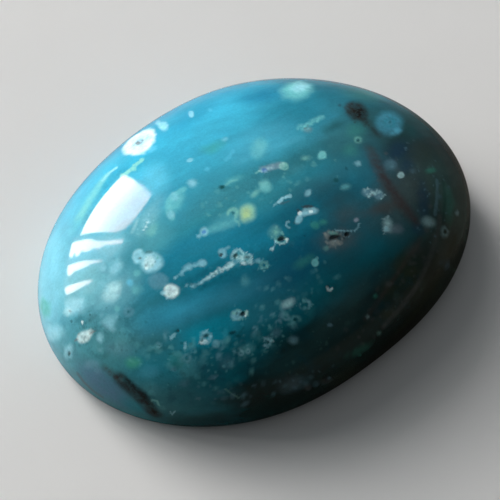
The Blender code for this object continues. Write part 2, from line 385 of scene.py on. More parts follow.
LINES = table(
    Streak,
    ("veil's straight edge", 9, "sky", 0.16, 1, ((236, 163), (256, 154), (278, 146), (302, 137))),
    ("pale line at the left rim", 5, "ice", 0.65, 0.6, ((116, 168), (109, 173), (103, 180))),
    ("green line at the left rim", 12, "mint", 0.45, 0.9, ((106, 176), (96, 190), (87, 204), (80, 216))),
    ("tail of the lime orb", 9, "aqua", 0.46, 1, ((234, 221), (222, 226), (212, 229), (205, 232)), 0.1),
    ("tail of the green bead", 6, "mint", 0.25, 1, ((264, 186), (258, 191), (252, 196))),
    ("violet chain", 8, "lilac", 0.5, 0.7, ((263, 169), (272, 167), (281, 165))),
    ("violet chain's tip", 3, "mint", 0.45, 0.7, ((256, 173), (261, 170))),
    ("granular green streak", 7, "aqua", 0.45, 0.9, ((300, 126), (306, 126), (313, 121), (322, 117))),
    ("upper sliver", 4, "ice", 0.85, 0.3, ((279, 202), (283, 198), (290, 196)), 0.2),
    ("sliver's foot", 2, "ice", 0.5, 0.6, ((274, 205), (279, 202))),
    ("under the sliver", 3, "umber", 0.5, 0.8, ((281, 204), (289, 201))),
    ("granular tail", 4.5, "ice", 0.35, 0.8,
     ((236, 262), (228, 267), (220, 271), (212, 276), (207, 279)), 0.2),
    ("granular tail's end", 3, "ice", 0.2, 0.9, ((207, 279), (201, 283), (192, 286)), 0.2),
    ("second chain", 3, "ice", 0.15, 0.9, ((203, 263), (190, 267), (182, 272), (175, 278)), 0.2),
    ("shadow under the tail", 5, "deep teal", 0.55, 0.9, ((236, 269), (224, 276), (212, 283), (200, 289))),
    ("pale chain above the window", 6, "mint", 0.8, 0.5,
     ((142, 160), (137, 164), (132, 169), (122, 176)), 0.3),
    ("window-side scratch", 1.6, "white", 0.55, 0.4, ((144, 230), (146, 226), (148, 222)), 0.2),
    # Painted reflection: a faint pale line along the mirrored window's right edge
    ("faint streak by the window", 4, "milk", 0.3, 0.8, ((132, 232), (135, 226), (138, 219))),
    ("hair to the pink bead", 1.5, "ice", 0.5, 0.4,
     ((336, 230.5), (346, 231), (355, 230.5), (358, 227), (359, 223))),
    ("hook", 2, "ice", 0.55, 0.4, ((289, 228), (286, 225), (287, 222), (289, 222))),
    ("crumbs to the dark hollow", 2, "ice", 0.25, 0.8, ((272, 248), (275, 245), (276, 241))),
    ("tail of the lilac patch", 5, "steel", 0.35, 0.8, ((284, 308), (281, 314), (280, 321)), 0.3),
    ("pale arc by the vein", 2.5, "mint", 0.45, 0.5, ((150, 404), (152, 400), (157, 401), (159, 405))),
    ("tick", 1.6, "ice", 0.6, 0.4, ((170, 411), (172, 415), (175, 411))),
    ("front hair", 1.6, "mint", 0.3, 0.5, ((225, 389), (232, 394), (239, 398))),
    ("pale smear upper", 5, "sky", 0.4, 0.8, ((226, 160), (230, 156), (233, 151))),
    ("side cloud's edge", 7, "aqua", 0.45, 0.5,
     ((184, 189), (174, 194), (168, 202), (169, 211), (172, 218)), 0.3),
    ("reddish vein", 16, "vein brown", 0.85, 1,
     ((370, 150), (376, 164), (384, 178), (392, 190), (401, 203), (409, 213), (415, 221))),
    ("stain's foot", 13, "stain", 0.6, 1, ((363, 118), (371, 126), (378, 133))),
    # Painted reflection: these three arcs along the right rim stand for the board, lit and in the stone's own
    # shadow, as the steep side mirrors it
    ("dark arc at the right", 9, "olive", 0.6, 0.8,
     ((455, 238), (448, 256), (438, 276), (426, 298), (410, 320), (392, 338))),
    ("light arc inside it", 8, "smoke", 0.45, 0.8,
     ((440, 218), (436, 240), (428, 262), (417, 286), (402, 306), (384, 326))),
    ("second dark arc", 6, "black", 0.55, 0.8,
     ((462, 245), (454, 266), (444, 286), (430, 308), (414, 328))),
    ("olive streak", 8, "umber", 0.35, 0.9, ((420, 240), (404, 264), (386, 290), (366, 318))),
    ("pale column", 5, "steel", 0.35, 0.8, ((437, 180), (437, 196), (435, 214))),
    ("dark line by the column", 5, "bottle green", 0.4, 0.9, ((443, 182), (445, 200), (443, 220))),
    ("speckled vein, upper", 9, "brown", 0.42, 0.9, ((105, 368), (112, 373), (119, 378)), 0.6),
    ("end vein", 19, "vein black", 0.92, 0.6,
     ((121, 380), (129, 388), (138, 396), (147, 405), (155, 414)), 0.1),
    ("end vein's black edge", 8, "black", 0.85, 0.6,
     ((127, 380), (136, 388), (144, 395), (151, 405), (156, 412)), 0.1),
    ("purple border", 7, "umber", 0.6, 0.9, ((78, 374), (84, 382), (92, 390), (102, 397))),
    ("smear by the fleck", 3, "mint", 0.35, 0.8, ((226, 185), (231, 181), (237, 180))),
    ("white hook", 2.8, "white", 0.7, 0.5, ((327, 287), (328, 290), (330.5, 290.5), (332, 288.5))),
)

BEADS = table(
    Mark,
    ("top orb", 297, 89, 34, 20, 8, "aqua", 0.95, 0.7, 0.1),
    ("top orb's bright part", 300, 87, 20, 11, 8, "ice", 0.9, 0.8),
    ("bead by the great ring", 163, 126, 10, 11, 30, "ice", 0.8, 0.5, 0.1),
    ("bead beside it", 158, 123, 6, 6, 0, "ice", 0.55, 0.6),
    ("cloud below the great ring", 152, 149, 12, 6, 32, "sky", 0.6, 0.6),
    ("dash in the blue", 190, 160, 7, 4, 15, "ice", 0.7, 0.4),
    ("dot in the blue", 191, 114, 6, 7, 30, "ice", 0.65, 0.4),
    ("faint dot in the blue", 210, 110, 5, 4, 0, "sky", 0.45, 0.6),
    ("patch in the blue", 225, 139, 7, 4, 15, "ice", 0.4, 0.7),
    ("soft bead upper", 192, 183, 10, 9, 0, "ice", 0.6, 0.7),
    ("small bead upper", 207, 169, 6, 4, 30, "sky", 0.5, 0.6),
    ("side cloud", 175, 202, 29, 16, 55, "aqua", 0.55, 0.7, 0.2),
    ("side cloud's upper bead", 174, 196, 10, 10, 0, "ice", 0.35, 0.5),
    ("side cloud's lower bead", 171, 215, 9, 9, 0, "ice", 0.4, 0.5),
    ("upper cyan bead", 322.5, 155, 10.5, 9.5, 15, "aqua", 1, 0.25, 0.1),
    ("granular bead at the chain", 284, 166, 10, 9, 0, "mint", 0.75, 0.3, 0.7),
    ("violet spot", 264, 170, 7, 5, 0, "blue", 0.6, 0.6),
    ("pinkish patch", 305, 158, 12, 5, 10, "mint", 0.35, 0.8),
    ("brown grains in the streak", 308, 130, 11, 6, 10, "pink grey", 0.45, 0.7, 0.5),
    ("green bead", 265, 186, 13, 13, 0, "aqua", 0.8, 0.6),
    ("lime orb", 247.5, 213, 21, 17, 55, "mint", 0.85, 0.5),
    ("lime orb's pale edge", 250, 211, 10, 13, -20, "mint", 0.45, 0.7),
    ("lime orb's heart", 246, 214, 17, 13, 50, "lime", 0.78, 0.8),
    ("green ring", 233, 213, 13, 12, 0, "mint", 0.8, 0.4, 0.2, 0.28),
    ("faint ring below it", 236, 224, 9, 8, 0, "mint", 0.45, 0.5, 0, 0.4),
    ("blue-eyed bead", 204, 231, 10, 10, 30, "ice", 0.6, 0.4),
    ("its foot", 199, 236, 5, 4, 30, "ice", 0.5, 0.5),
    ("its blue eye", 204, 232, 5, 4, 0, "blue", 0.7, 0.4),
    ("pale chip", 308, 193, 9, 6, 50, "ice", 0.55, 0.5),
    ("white patch body", 299, 219, 7, 10, -30, "ice", 0.85, 0.4, 0.2),
    ("white patch right body", 310, 211, 16, 8, 8, "ice", 0.8, 0.4, 0.4),
    ("white spot left", 300, 213.5, 5, 4.5, 0, "white", 0.95, 0.3),
    ("white spot right", 311, 211.5, 4.5, 3.4, 0, "white", 0.95, 0.3),
    ("green bead right", 315, 225, 9, 8, 0, "sea green", 0.6, 0.6, 0.2),
    ("yellow-green bead right", 323, 222, 9, 6, 0, "sea green", 0.45, 0.7),
    ("pale arc of the brown hollow", 333, 233, 11, 4, -12, "mint", 0.45, 0.5, 0.5),
    ("pink wall left", 327, 236, 6, 8, 0, "pink grey", 0.55, 0.7, 0.3),
    ("pink wall below", 335, 243, 12, 6, 5, "pink grey", 0.7, 0.6, 0.4),
    ("pale below the hollow", 326, 248, 6, 5, 0, "mint", 0.35, 0.7),
    ("pink bead", 356, 220, 6.5, 5, 10, "lilac", 0.75, 0.5),
    ("drop", 315, 263, 7.5, 8, 0, "aqua", 0.9, 0.3, 0.2),
    ("drop's tip", 317, 258.5, 4, 3.4, 45, "aqua", 0.6, 0.4),
    ("corner dot", 272, 249, 4, 4, 0, "milk", 0.8, 0.3),
    ("dark hollow's rim", 282, 240, 12, 8, 10, "mint", 0.75, 0.3, 0.3, 0.62),
    ("dark hollow's bright side", 287, 240, 2.6, 4.6, 0, "white", 0.8, 0.4),
    ("dots by the dark hollow", 276, 239, 4, 5, 0, "mint", 0.5, 0.5, 0.3),
    ("sponge", 242, 257, 19, 12, -25, "aqua", 0.5, 0.6, 0.3),
    ("sponge left cell", 236, 255, 9, 10, 0, "milk", 0.45, 0.5, 0.4, 0.4),
    ("sponge right cell", 247, 259, 11, 10, 0, "milk", 0.5, 0.5, 0.4, 0.4),
    ("sponge's bright bead", 230, 265, 8, 6, 20, "milk", 0.85, 0.5, 0.3),
    ("sponge's bright foot", 243, 263, 7, 3, 10, "white", 0.6, 0.5, 0.3),
    ("tail's bead a", 222, 270, 5, 4, 30, "white", 0.6, 0.5, 0.3),
    ("tail's bead b", 216, 273, 5, 4, 30, "milk", 0.6, 0.5, 0.3),
    ("tail's bead c", 226, 267.5, 4, 3.4, 0, "white", 0.6, 0.5, 0.3),
    ("tail's bead d", 211, 277, 5, 3.4, 30, "ice", 0.6, 0.5, 0.3),
    ("tail's bead e", 201, 283, 5, 3, 30, "ice", 0.4, 0.6),
    ("chain's bead a", 196, 265, 5, 4, 0, "ice", 0.45, 0.6),
    ("chain's bead b", 182, 272, 5, 3.6, 40, "ice", 0.4, 0.6),
    ("pale bead", 222, 253, 8, 10, 0, "ice", 0.7, 0.4, 0.1),
    ("pale bead's tail", 227, 248, 6, 3, 20, "ice", 0.45, 0.6),
    ("cluster right of the sponge", 264, 265, 10, 10, 0, "mint", 0.45, 0.4, 0.5, 0.35),
    ("bead at the cluster", 258, 261, 7, 5, 0, "ice", 0.4, 0.6),
    ("left dot of the chain", 202, 263, 10, 8, 0, "ice", 0.6, 0.5, 0.3),
    ("second dot of the chain", 187, 267.5, 12, 7, 20, "ice", 0.5, 0.7, 0.3),
    ("third dot of the chain", 175, 278, 4, 4, 0, "ice", 0.5, 0.5),
    ("fine dot", 187, 285, 3, 3, 0, "ice", 0.45, 0.5),
    ("fleck at the tail's end", 194, 286, 6, 5, 20, "ice", 0.45, 0.5, 0.2),
    ("left lobe", 138, 256, 12, 17, -10, "ice", 0.85, 0.3),
    ("lobes' body", 151, 262, 24, 22, 10, "ice", 0.88, 0.35),
    ("lobes' grains", 149, 262, 14, 13, 10, "white", 0.62, 0.7, 0.2),
    ("lobes' bright fleck", 146, 268, 3.5, 3.5, 0, "white", 0.8, 0.4),
    ("bead under the lobes", 137, 273, 8, 7, 20, "aqua", 0.4, 0.5),
    ("light blue bead", 130, 283, 8, 9, 30, "sky", 0.7, 0.5),
    ("teal-pale oval", 116, 267, 20, 12, 50, "ice", 0.6, 0.7),
    ("big pale bead", 112, 292, 25, 17, 50, "milk", 0.7, 0.6),
    ("big pale bead's heart", 113, 289, 14, 10, 40, "milk", 0.5, 0.8),
    ("soft bead below", 109, 322, 17, 13, 35, "ice", 0.6, 0.8),
    ("soft bead lower", 100, 338, 9, 10, 0, "ice", 0.5, 0.6),
    ("small bead over it", 117, 309, 6, 7, 0, "aqua", 0.45, 0.5),
    ("faint ring", 129, 312, 13, 11, 20, "steel", 0.4, 0.4, 0, 0.35),
    ("faint green bead", 137, 289, 15, 10, 0, "aqua", 0.25, 0.6),
    ("faint spot under the green bead", 136, 292, 8, 7, 0, "aqua", 0.2, 0.5),
    ("mulberry orb", 171, 291, 16, 14.5, 5, "white", 1, 0.4, 0.15),
    ("mulberry orb's bright side", 175, 293, 7, 5, 20, "white", 0.9, 0.5, 0),
    ("mulberry orb's foot", 163, 293, 6, 5, 0, "ice", 0.6, 0.5),
    ("grain below it", 167, 298, 3, 3, 0, "ice", 0.6, 0.4),
    ("sparkle at the end", 82.5, 322, 2.6, 2.6, 40, "white", 0.85, 0.3),
    ("end orb", 84, 337, 17, 11, 30, "white", 0.85, 0.45, 0.4),
    ("end orb's foot", 90, 332, 9, 6, 30, "white", 0.55, 0.5, 0.6),
    ("end ring", 68, 352, 9, 18, -20, "ice", 0.65, 0.6, 0.4),
    ("end bead", 68, 312, 10, 9, 0, "milk", 0.5, 0.6, 0.3),
    ("chip at the front orb", 173, 336, 8, 3.6, 45, "ice", 0.8, 0.4),
    ("front orb", 206, 337, 13, 12, 20, "ice", 0.55, 0.6, 0.3, 0.35),
    ("front orb's bright foot", 204, 342, 9, 4.5, 0, "white", 0.95, 0.3, 0.2),
    ("triangle bead right of it", 216, 344, 8, 8, 20, "ice", 0.55, 0.5),
    ("sliver in the front", 185, 346, 3.4, 9, -5, "ice", 0.8, 0.3),
    ("patch by the sliver", 191, 346, 9, 6, 0, "aqua", 0.4, 0.7),
    ("smear in the front", 155, 347, 13, 5, 10, "aqua", 0.4, 0.8),
    ("emerald's dot left", 131, 361, 4, 3, 0, "mint", 0.3, 0.6),
    ("emerald's dot right", 135, 364, 4, 3, 0, "mint", 0.3, 0.6),
    ("grey dot in the front", 173, 369, 6, 4.5, 0, "steel", 0.5, 0.6, 0.2),
    ("pale oval in the front", 214, 377, 10, 5, 20, "steel", 0.55, 0.6, 0.2),
    ("dot below it", 204, 384, 6, 4, 0, "aqua", 0.35, 0.6),
    ("dot right of it", 216, 388, 6, 5, 0, "aqua", 0.3, 0.7),
    ("triangle bead", 237.5, 315, 13, 11, 10, "ice", 0.7, 0.4, 0.3),
    ("triangle's bright edge", 246, 313.8, 2.8, 7, -15, "white", 0.9, 0.3),
    ("lilac patch", 288, 303, 15, 9, 35, "milk", 0.8, 0.7, 0.3),
    ("lilac patch's upper dot", 278, 302, 6, 6, 30, "aqua", 0.35, 0.7),
    ("teal cluster", 306, 305, 13, 10, 20, "ice", 0.5, 0.4, 0.5, 0.35),
    ("blurred ring", 295, 319, 15, 9, 10, "aqua", 0.45, 0.5, 0.1, 0.35),
    ("blurred ring's foot", 290, 324, 10, 5, 10, "aqua", 0.3, 0.8),
    ("grey-white dot", 330, 325, 6, 4, 0, "steel", 0.6, 0.5),
    ("small front ring", 267, 342, 11, 10, 0, "ice", 0.5, 0.6, 0.2, 0.35),
    ("its tail", 272, 341, 5, 3, -20, "milk", 0.5, 0.5),
    ("grey-teal disc", 294, 340, 12, 10, 8, "ice", 0.38, 0.6, 0.5),
    ("front ring a", 241, 353, 7, 7, 0, "ice", 0.6, 0.4, 0.3, 0.3),
    ("front ring b", 248, 351, 6, 7, 0, "ice", 0.55, 0.5, 0.2, 0.3),
    ("faint oval low", 252, 371, 6, 10, 0, "aqua", 0.35, 0.6),
    ("disc low", 308, 388, 9, 8, 0, "smoke", 0.4, 0.6),
    ("pale dot far front", 329, 378, 5, 4, 0, "steel", 0.3, 0.7),
    ("pale dot in the arc", 360, 355, 5, 4, 0, "sea green", 0.35, 0.7),
    ("dot at the side a", 389, 284, 7, 6, 0, "smoke", 0.75, 0.7),
    ("dot at the side b", 375, 296, 6, 5, 30, "sea green", 0.45, 0.7),
    ("dot at the side c", 411, 264, 6, 4, 10, "smoke", 0.45, 0.7),
    ("dot at the side d", 368, 317, 5, 5, 0, "milk", 0.25, 0.7),
    ("dot at the side e", 379, 333, 6, 5, 0, "mint", 0.3, 0.7),
    ("blue orb", 390, 122, 30, 26, -10, "orb blue", 0.8, 0.5),
    ("blue orb's lower rim", 395, 132, 15, 7, 20, "sky", 0.45, 0.7, 0.2),
    ("blue orb's upper rim", 384, 117, 14, 6, 10, "sky", 0.15, 0.8),
    ("blue orb's inner ring", 390, 122, 14, 12, 0, "teal", 0.4, 0.5, 0.5, 0.5),
    ("small green ring", 358, 140, 9, 8, 0, "mint", 0.45, 0.5, 0.2, 0.35),
    ("bead by the stain", 358, 163, 7, 5, 10, "ice", 0.6, 0.6),
    ("cluster right", 391, 165, 14, 12, 0, "steel", 0.5, 0.7, 0.1),
    ("bright bead", 401, 175, 7.5, 6.5, 20, "milk", 0.9, 0.35),
    ("faint bead right", 413, 171, 7, 6, 0, "steel", 0.3, 0.8),
    ("double orb left", 368, 193, 13, 9, -10, "steel", 0.8, 0.6, 0.3),
    ("double orb right", 379, 195, 10, 11, 0, "steel", 0.8, 0.6, 0.3),
    ("lilac orb", 388, 225, 11, 15, 10, "milk", 0.5, 0.6, 0.3),
    ("lilac orb's bright foot", 386, 229, 6, 6, 0, "ice", 0.65, 0.6),
    ("lilac orb's haze", 396, 229, 16, 11, -20, "lilac", 0.3, 0.8),
    ("grey disc", 429, 222, 15, 12, 0, "milk", 0.42, 0.6),
    ("grey ring", 445, 232, 9, 14, 0, "milk", 0.3, 0.6, 0, 0.42),
    ("green bead far", 345, 187, 10, 6, 10, "aqua", 0.45, 0.7),
    ("dot at the far right", 457, 213, 4, 5, 0, "milk", 0.4, 0.6),
    ("bead at the column's head", 440, 197, 4, 5, 0, "steel", 0.25, 0.8),
    ("great ring", 139, 141, 38, 20, 34, "white", 0.9, 0.15, 0.12),
    ("great ring's tint", 149, 139, 9, 5, 30, "ice", 0.3, 0.8),
    ("mulberry orb's bright top", 168, 287, 6, 4, 20, "white", 0.8, 0.6),
    ("white patch's bridge", 304, 214, 10, 6, 20, "ice", 0.65, 0.5, 0.3),
    ("green bead's foot", 255, 194, 10, 7, 30, "mint", 0.4, 0.8),
)

DARKS = table(
    Mark,
    ("great ring's hollow", 139, 142, 12, 7, 30, "steel", 0.55, 0.6, 0.4),
    ("great ring's speck", 138, 143, 5, 3.5, 20, "umber", 0.55, 0.6),
    ("upper stain", 357, 111, 27, 21, -30, "stain", 0.96, 0.55, 0.05),
    ("upper stain's heart", 360, 113, 17, 14, -30, "black", 0.6, 0.8),
    ("upper stain's left arm", 349, 106, 12, 8, 30, "brown", 0.5, 0.8, 0.3),
    ("fleck above", 222, 187, 7, 4.5, 10, "bottle green", 0.9, 0.6),
    ("fleck far", 336, 180, 6, 5, 0, "bottle green", 0.6, 0.6),
    ("green ring's eye", 233, 213, 3, 3, 0, "bottle green", 0.7, 0.4),
    ("left lobe's eye", 140, 258, 4.5, 3, 45, "bottle green", 0.75, 0.5),
    ("right lobe's seam", 146, 265, 5, 1.8, 45, "bottle green", 0.55, 0.5),
    ("right lobe's eye", 155, 262, 2.4, 2.4, 0, "bottle green", 0.6, 0.4),
    ("right lobe's far eye", 157, 258, 3, 2, 20, "sea green", 0.6, 0.4),
    ("notch over the lobes", 149, 252, 9, 3.5, 10, "bottle green", 0.6, 0.7),
    ("pale bead's eye", 221, 255, 4.4, 4, 0, "black", 0.92, 0.5),
    ("dark hollow", 282, 239, 9, 5.5, 10, "black", 0.8, 0.45),
    ("sponge's left hollow", 236, 255, 4.5, 4, 30, "bottle green", 0.65, 0.5),
    ("sponge's right hollow", 246.5, 257, 3.4, 2.6, 0, "bottle green", 0.6, 0.5),
    ("brown above the white patch", 308, 206.5, 12, 3, 3, "brown", 0.8, 0.5),
    ("brown at the white spot", 298, 210, 4, 3, 0, "brown", 0.6, 0.6),
    ("brown hollow", 335, 237, 13, 6, 8, "stain", 0.7, 0.8),
    ("dark crevice", 347, 234, 6, 4, 25, "black", 0.85, 0.6),
    ("dark crevice left", 339, 237, 6, 3, 10, "black", 0.5, 0.7),
    ("triangle", 243, 314, 5.5, 5.5, 0, "black", 0.97, 0.3),
    ("lines in the triangle bead", 237, 313, 2, 5, -20, "bottle green", 0.55, 0.5),
    ("red over the hook", 328, 286.5, 4, 3, 0, "black", 0.6, 0.6),
    ("green round the hook", 331, 288, 15, 13, 0, "bottle green", 0.45, 0.8, 0.5, 0.5),
    ("blurred ring's eye", 295, 320, 3, 3, 0, "black", 0.6, 0.5),
    ("front fleck", 232, 333, 9, 4, 10, "black", 0.75, 0.6),
    ("front fleck's tail", 238, 336, 7, 3, -20, "bottle green", 0.5, 0.7),
    ("chip's eye", 178, 331, 3, 3, 0, "black", 0.75, 0.4),
    ("front orb's left eye", 202, 340, 3, 3, 0, "bottle green", 0.8, 0.4),
    ("front orb's upper eye", 207, 335, 4, 3.5, 0, "bottle green", 0.75, 0.4),
    ("small front ring's eye", 268, 342, 3, 3, 0, "bottle green", 0.6, 0.5),
    ("end cleft", 93, 332, 9, 2.6, 30, "umber", 0.7, 0.5, 0.3),
    ("rust by the cleft", 76, 340, 6, 3, 30, "rust", 0.5, 0.7),
    ("end ring's eye", 69, 354, 2.8, 5, -10, "bottle green", 0.75, 0.6),
    ("end bead's eye", 70, 311, 3, 3, 0, "umber", 0.6, 0.5),
    ("faint ring's eye", 128, 312, 2.6, 2.6, 0, "bottle green", 0.5, 0.5),
    ("smudge on the big bead", 119, 292, 4, 6, 0, "steel", 0.45, 0.7),
    ("double orb's seam", 372, 195, 4, 3, 0, "smoke", 0.5, 0.6),
    ("small green ring's eye", 358, 141, 3, 3, 0, "bottle green", 0.6, 0.5),
    ("blue orb's eye", 390, 122, 3, 3, 0, "bottle green", 0.5, 0.5),
    ("grey ring's eye", 445, 232, 4, 6, 0, "olive", 0.7, 0.6),
    ("dark under the rim's cloud", 106, 272, 6, 4, 0, "steel", 0.3, 0.8),
)

PALE_CRUMBS = table(
    Crumbs,
    ("tail", 44, (6, 2), 2.4, "milk", 0.62, ((238, 260), (228, 266), (220, 270), (212, 275), (205, 279))),
    ("tail's end", 9, (2.5, 1.5), 2.8, "ice", 0.55, ((205, 279), (200, 283), (190, 286))),
    ("second chain", 16, (5, 2.5), 2.8, "ice", 0.34,
     ((207, 262), (196, 265), (187, 268), (181, 273), (175, 279))),
    ("sponge's left ring", 26, (2.6, 2.6), 2.2, "milk", 0.62,
     ((233, 252), (237, 249), (241, 251), (241, 257), (236, 260), (232, 257), (233, 252))),
    ("sponge's right ring", 30, (3, 3), 2.4, "milk", 0.66,
     ((243, 254), (249, 254), (252, 259), (249, 263), (243, 263), (241, 259), (243, 254))),
    ("sponge's inner grains", 8, (4, 4), 2, "milk", 0.6, ((236, 255), (247, 259))),
    ("dark hollow's wall", 13, (0.9, 0.9), 2, "milk", 0.8,
     ((275, 240), (279, 244), (286, 243), (288, 239))),
    ("crumbs to the dark hollow", 6, (1, 1), 2, "ice", 0.7, ((272, 249), (274, 246), (276, 240))),
    ("grains above the dark hollow", 16, (5, 5), 2.4, "mint", 0.5, ((272, 236), (276, 229), (284, 233))),
    ("brown hollow's wall", 24, (4, 4), 2.8, "pink grey", 0.55,
     ((323, 236), (328, 231), (337, 231), (344, 239), (337, 246), (329, 246), (324, 240))),
    ("green streak", 24, (5, 3), 2.8, "aqua", 0.5, ((299, 128), (306, 128), (313, 122), (323, 117))),
    ("violet chain", 12, (3, 5), 2.6, "milk", 0.35, ((258, 172), (266, 169), (274, 167), (287, 165))),
    ("double orb", 24, (2.4, 2.4), 2.6, "milk", 0.75,
     ((363, 192), (368, 188), (373, 193), (367, 196), (374, 194), (379, 190), (384, 195), (379, 200))),
    ("front orb's ring", 20, (1.8, 1.8), 2.8, "ice", 0.75,
     ((201, 341), (202, 334), (207, 331), (212, 335), (210, 342), (204, 344))),
    ("chain above the window", 14, (4, 4), 3.2, "mint", 0.7, ((142, 160), (132, 169), (122, 176))),
    ("beside the window", 18, (7, 7), 2.2, "ice", 0.45, ((134, 234), (142, 224), (150, 217), (157, 232))),
    ("cluster right of the sponge", 16, (3, 3), 2.6, "aqua", 0.5,
     ((257, 263), (263, 260), (270, 264), (266, 270), (259, 268))),
    ("teal cluster", 14, (4, 4), 2.6, "aqua", 0.45, ((301, 304), (307, 300), (312, 305), (306, 309))),
    ("small front ring", 14, (1.6, 1.6), 2.4, "ice", 0.6,
     ((263, 342), (266, 338), (271, 341), (268, 347), (264, 345))),
    ("triangle bead's wall", 16, (1.8, 1.8), 2.6, "mint", 0.6,
     ((232, 314), (238, 310), (246, 311), (248, 316), (242, 320), (234, 319))),
    ("lilac orb's grains", 12, (6, 6), 2.6, "milk", 0.5, ((386, 218), (387, 225), (386, 232))),
    ("front's soft spots", 46, (34, 26), 6.5, "aqua", 0.3,
     ((140, 352), (200, 356), (256, 348), (292, 312))),
    ("front's small spots", 56, (40, 26), 2.8, "aqua", 0.36,
     ((130, 350), (200, 362), (262, 342), (292, 302))),
    ("front's rings", 18, (30, 24), 8, "ice", 0.36, ((150, 350), (230, 350), (290, 312)), 0.4),
    ("low front's spots", 30, (16, 16), 5.5, "steel", 0.26, ((190, 392), (260, 392), (330, 372))),
    ("side's spots", 34, (24, 24), 5, "smoke", 0.32, ((345, 350), (385, 305), (415, 265), (440, 235))),
    ("right's spots", 22, (36, 30), 4, "smoke", 0.25, ((372, 160), (400, 190), (435, 225))),
    ("middle's spots", 30, (26, 26), 4, "mint", 0.22, ((200, 215), (260, 190), (330, 165))),
    ("left's spots", 22, (22, 22), 6, "ice", 0.3, ((110, 250), (112, 300), (100, 345))),
    ("lower middle's spots", 26, (26, 26), 4.5, "aqua", 0.22, ((240, 300), (290, 290), (340, 270))),
    ("right's fine spots", 40, (34, 30), 2.2, "steel", 0.34, ((390, 140), (440, 180), (420, 245))),
)

DARK_CRUMBS = table(
    Crumbs,
    ("great ring's specks", 9, (5, 5), 2, "umber", 0.45, ((133, 145), (139, 142), (145, 139))),
    ("mulberry orb's specks", 16, (11, 11), 1.8, "sea green", 0.36, ((166, 291), (176, 292))),
    ("lobes' specks", 10, (8, 8), 1.8, "sea green", 0.45, ((146, 261), (157, 264))),
    ("end orb's specks", 12, (8, 8), 2.2, "bottle green", 0.5, ((78, 342), (86, 338), (95, 330))),
    ("specks by the end orb", 12, (9, 9), 2.2, "bottle green", 0.45, ((78, 328), (96, 322), (100, 334))),
    ("vein's specks", 14, (7, 5), 2.6, "brown", 0.5, ((106, 368), (113, 374), (122, 381))),
    ("brown hollow's specks", 12, (6, 6), 2.4, "black", 0.55, ((328, 237), (340, 238), (350, 234))),
    ("green streak's specks", 6, (3, 3), 2.2, "umber", 0.45, ((302, 129), (310, 126))),
    ("sponge's cells", 14, (6, 6), 2.6, "bottle green", 0.6, ((234, 254), (240, 257), (250, 259))),
    ("front's specks", 40, (34, 30), 2.6, "bottle green", 0.45, ((120, 335), (200, 350), (300, 325))),
    ("stain's edge", 18, (16, 12), 3.6, "stain", 0.6, ((345, 104), (357, 112), (369, 123))),
    ("shadow of the chains", 24, (5, 5), 4, "deep teal", 0.45,
     ((250, 262), (226, 275), (205, 286), (182, 282))),
    ("tail's specks", 14, (5, 3), 1.8, "bottle green", 0.5, ((234, 264), (222, 270), (210, 277))),
)

# Where small beads crowd, and where dark specks do
BEAD_CROWDS = table(
    Crowd,
    ("lower left", 100, 335, 90, 70, 20, 0.9),
    ("front", 215, 365, 190, 80, 22, 1),
    ("lower middle", 300, 335, 110, 90, 30, 0.9),
    ("chain band", 225, 265, 150, 26, 28, 0.7),
    ("upper band", 270, 175, 130, 36, 28, 0.55),
    ("right", 400, 190, 90, 100, 40, 0.6),
    ("side", 390, 290, 90, 70, 45, 0.6),
    ("left rim", 100, 200, 100, 20, 55, 0.5),
    ("middle", 300, 235, 110, 50, 28, 0.5),
)
SPECK_CROWDS = table(
    Crowd,
    ("front specks", 210, 350, 150, 60, 22, 1),
    ("end specks", 95, 325, 70, 50, 20, 0.9),
    ("middle specks", 270, 245, 130, 60, 28, 0.6),
    ("right specks", 350, 175, 60, 60, 30, 0.5),
)

PITS = table(
    Pit,
    ("great ring, outer", 130, 144, 7, 4, 30, 0.02),
    ("great ring, inner", 139, 142, 8, 4, 30, 0.05),
    ("left lobe", 140, 258, 5, 4, 0, 0.03),
    ("right lobe", 147, 265, 7, 4, 40, 0.02),
    ("mulberry orb", 171, 291, 5, 4, 20, 0.02),
    ("pale bead", 221, 255, 4, 4, 0, 0.04),
    ("sponge left", 236, 255, 6, 4, 60, 0.04),
    ("sponge right", 247, 258, 6, 4, 30, 0.03),
    ("dark hollow", 282, 239, 9, 6, 10, 0.08),
    ("white patch left", 299, 213, 5, 4, 0, 0.02),
    ("white patch right", 310, 209, 8, 4, 10, 0.03),
    ("brown hollow", 334, 238, 13, 6, 8, 0.06),
    ("its neighbour", 347, 235, 6, 5, 25, 0.06),
    ("double orb left", 370, 194, 5, 4, 0, 0.02),
    ("double orb right", 379, 196, 4, 4, 0, 0.02),
    ("triangle", 243, 314, 5, 5, 45, 0.08),
    ("front orb", 206, 337, 7, 6, 0, 0.04),
    ("chip's eye", 178, 331, 4, 4, 45, 0.05),
    ("end cleft", 93, 332, 9, 3, 30, 0.05),
    ("end ring", 69, 354, 4, 6, 0, 0.05),
)

# How far from a mark's middle its edge is worked out, and how far from it, and from a streak's line, the mesh
# is made finer, in shares of their sizes
MARK_REACH = 1.6
FINER_REACH = 1.35
STREAK_REACH = 1.6
# A distance past every mark
FAR_AWAY = 99.0
# Marks larger than this, in pixels, keep their shape in the photograph instead of their shape on the dome
BROAD_MARK = 40
# How far a mark's edge wanders and trembles, in pixels, and the most of each as a share of the mark
EDGE_WANDER, MOST_WANDER = 1.0, 0.20
EDGE_TREMBLE, MOST_TREMBLE = 0.45, 0.12
# Sizes of the lumps that make marks and pits uneven
BROAD_LUMPS, STREAK_LUMPS, COARSE_LUMPS = 2.4 * MM, 1.1 * MM, 0.50 * MM
MEDIUM_LUMPS, FINE_LUMPS, PIT_LUMPS = 0.26 * MM, 0.15 * MM, 0.14 * MM
# How far apart in the noise the lumps of two seeds that follow each other are taken
SEED_STEP = (7.3, 3.1, 5.7)
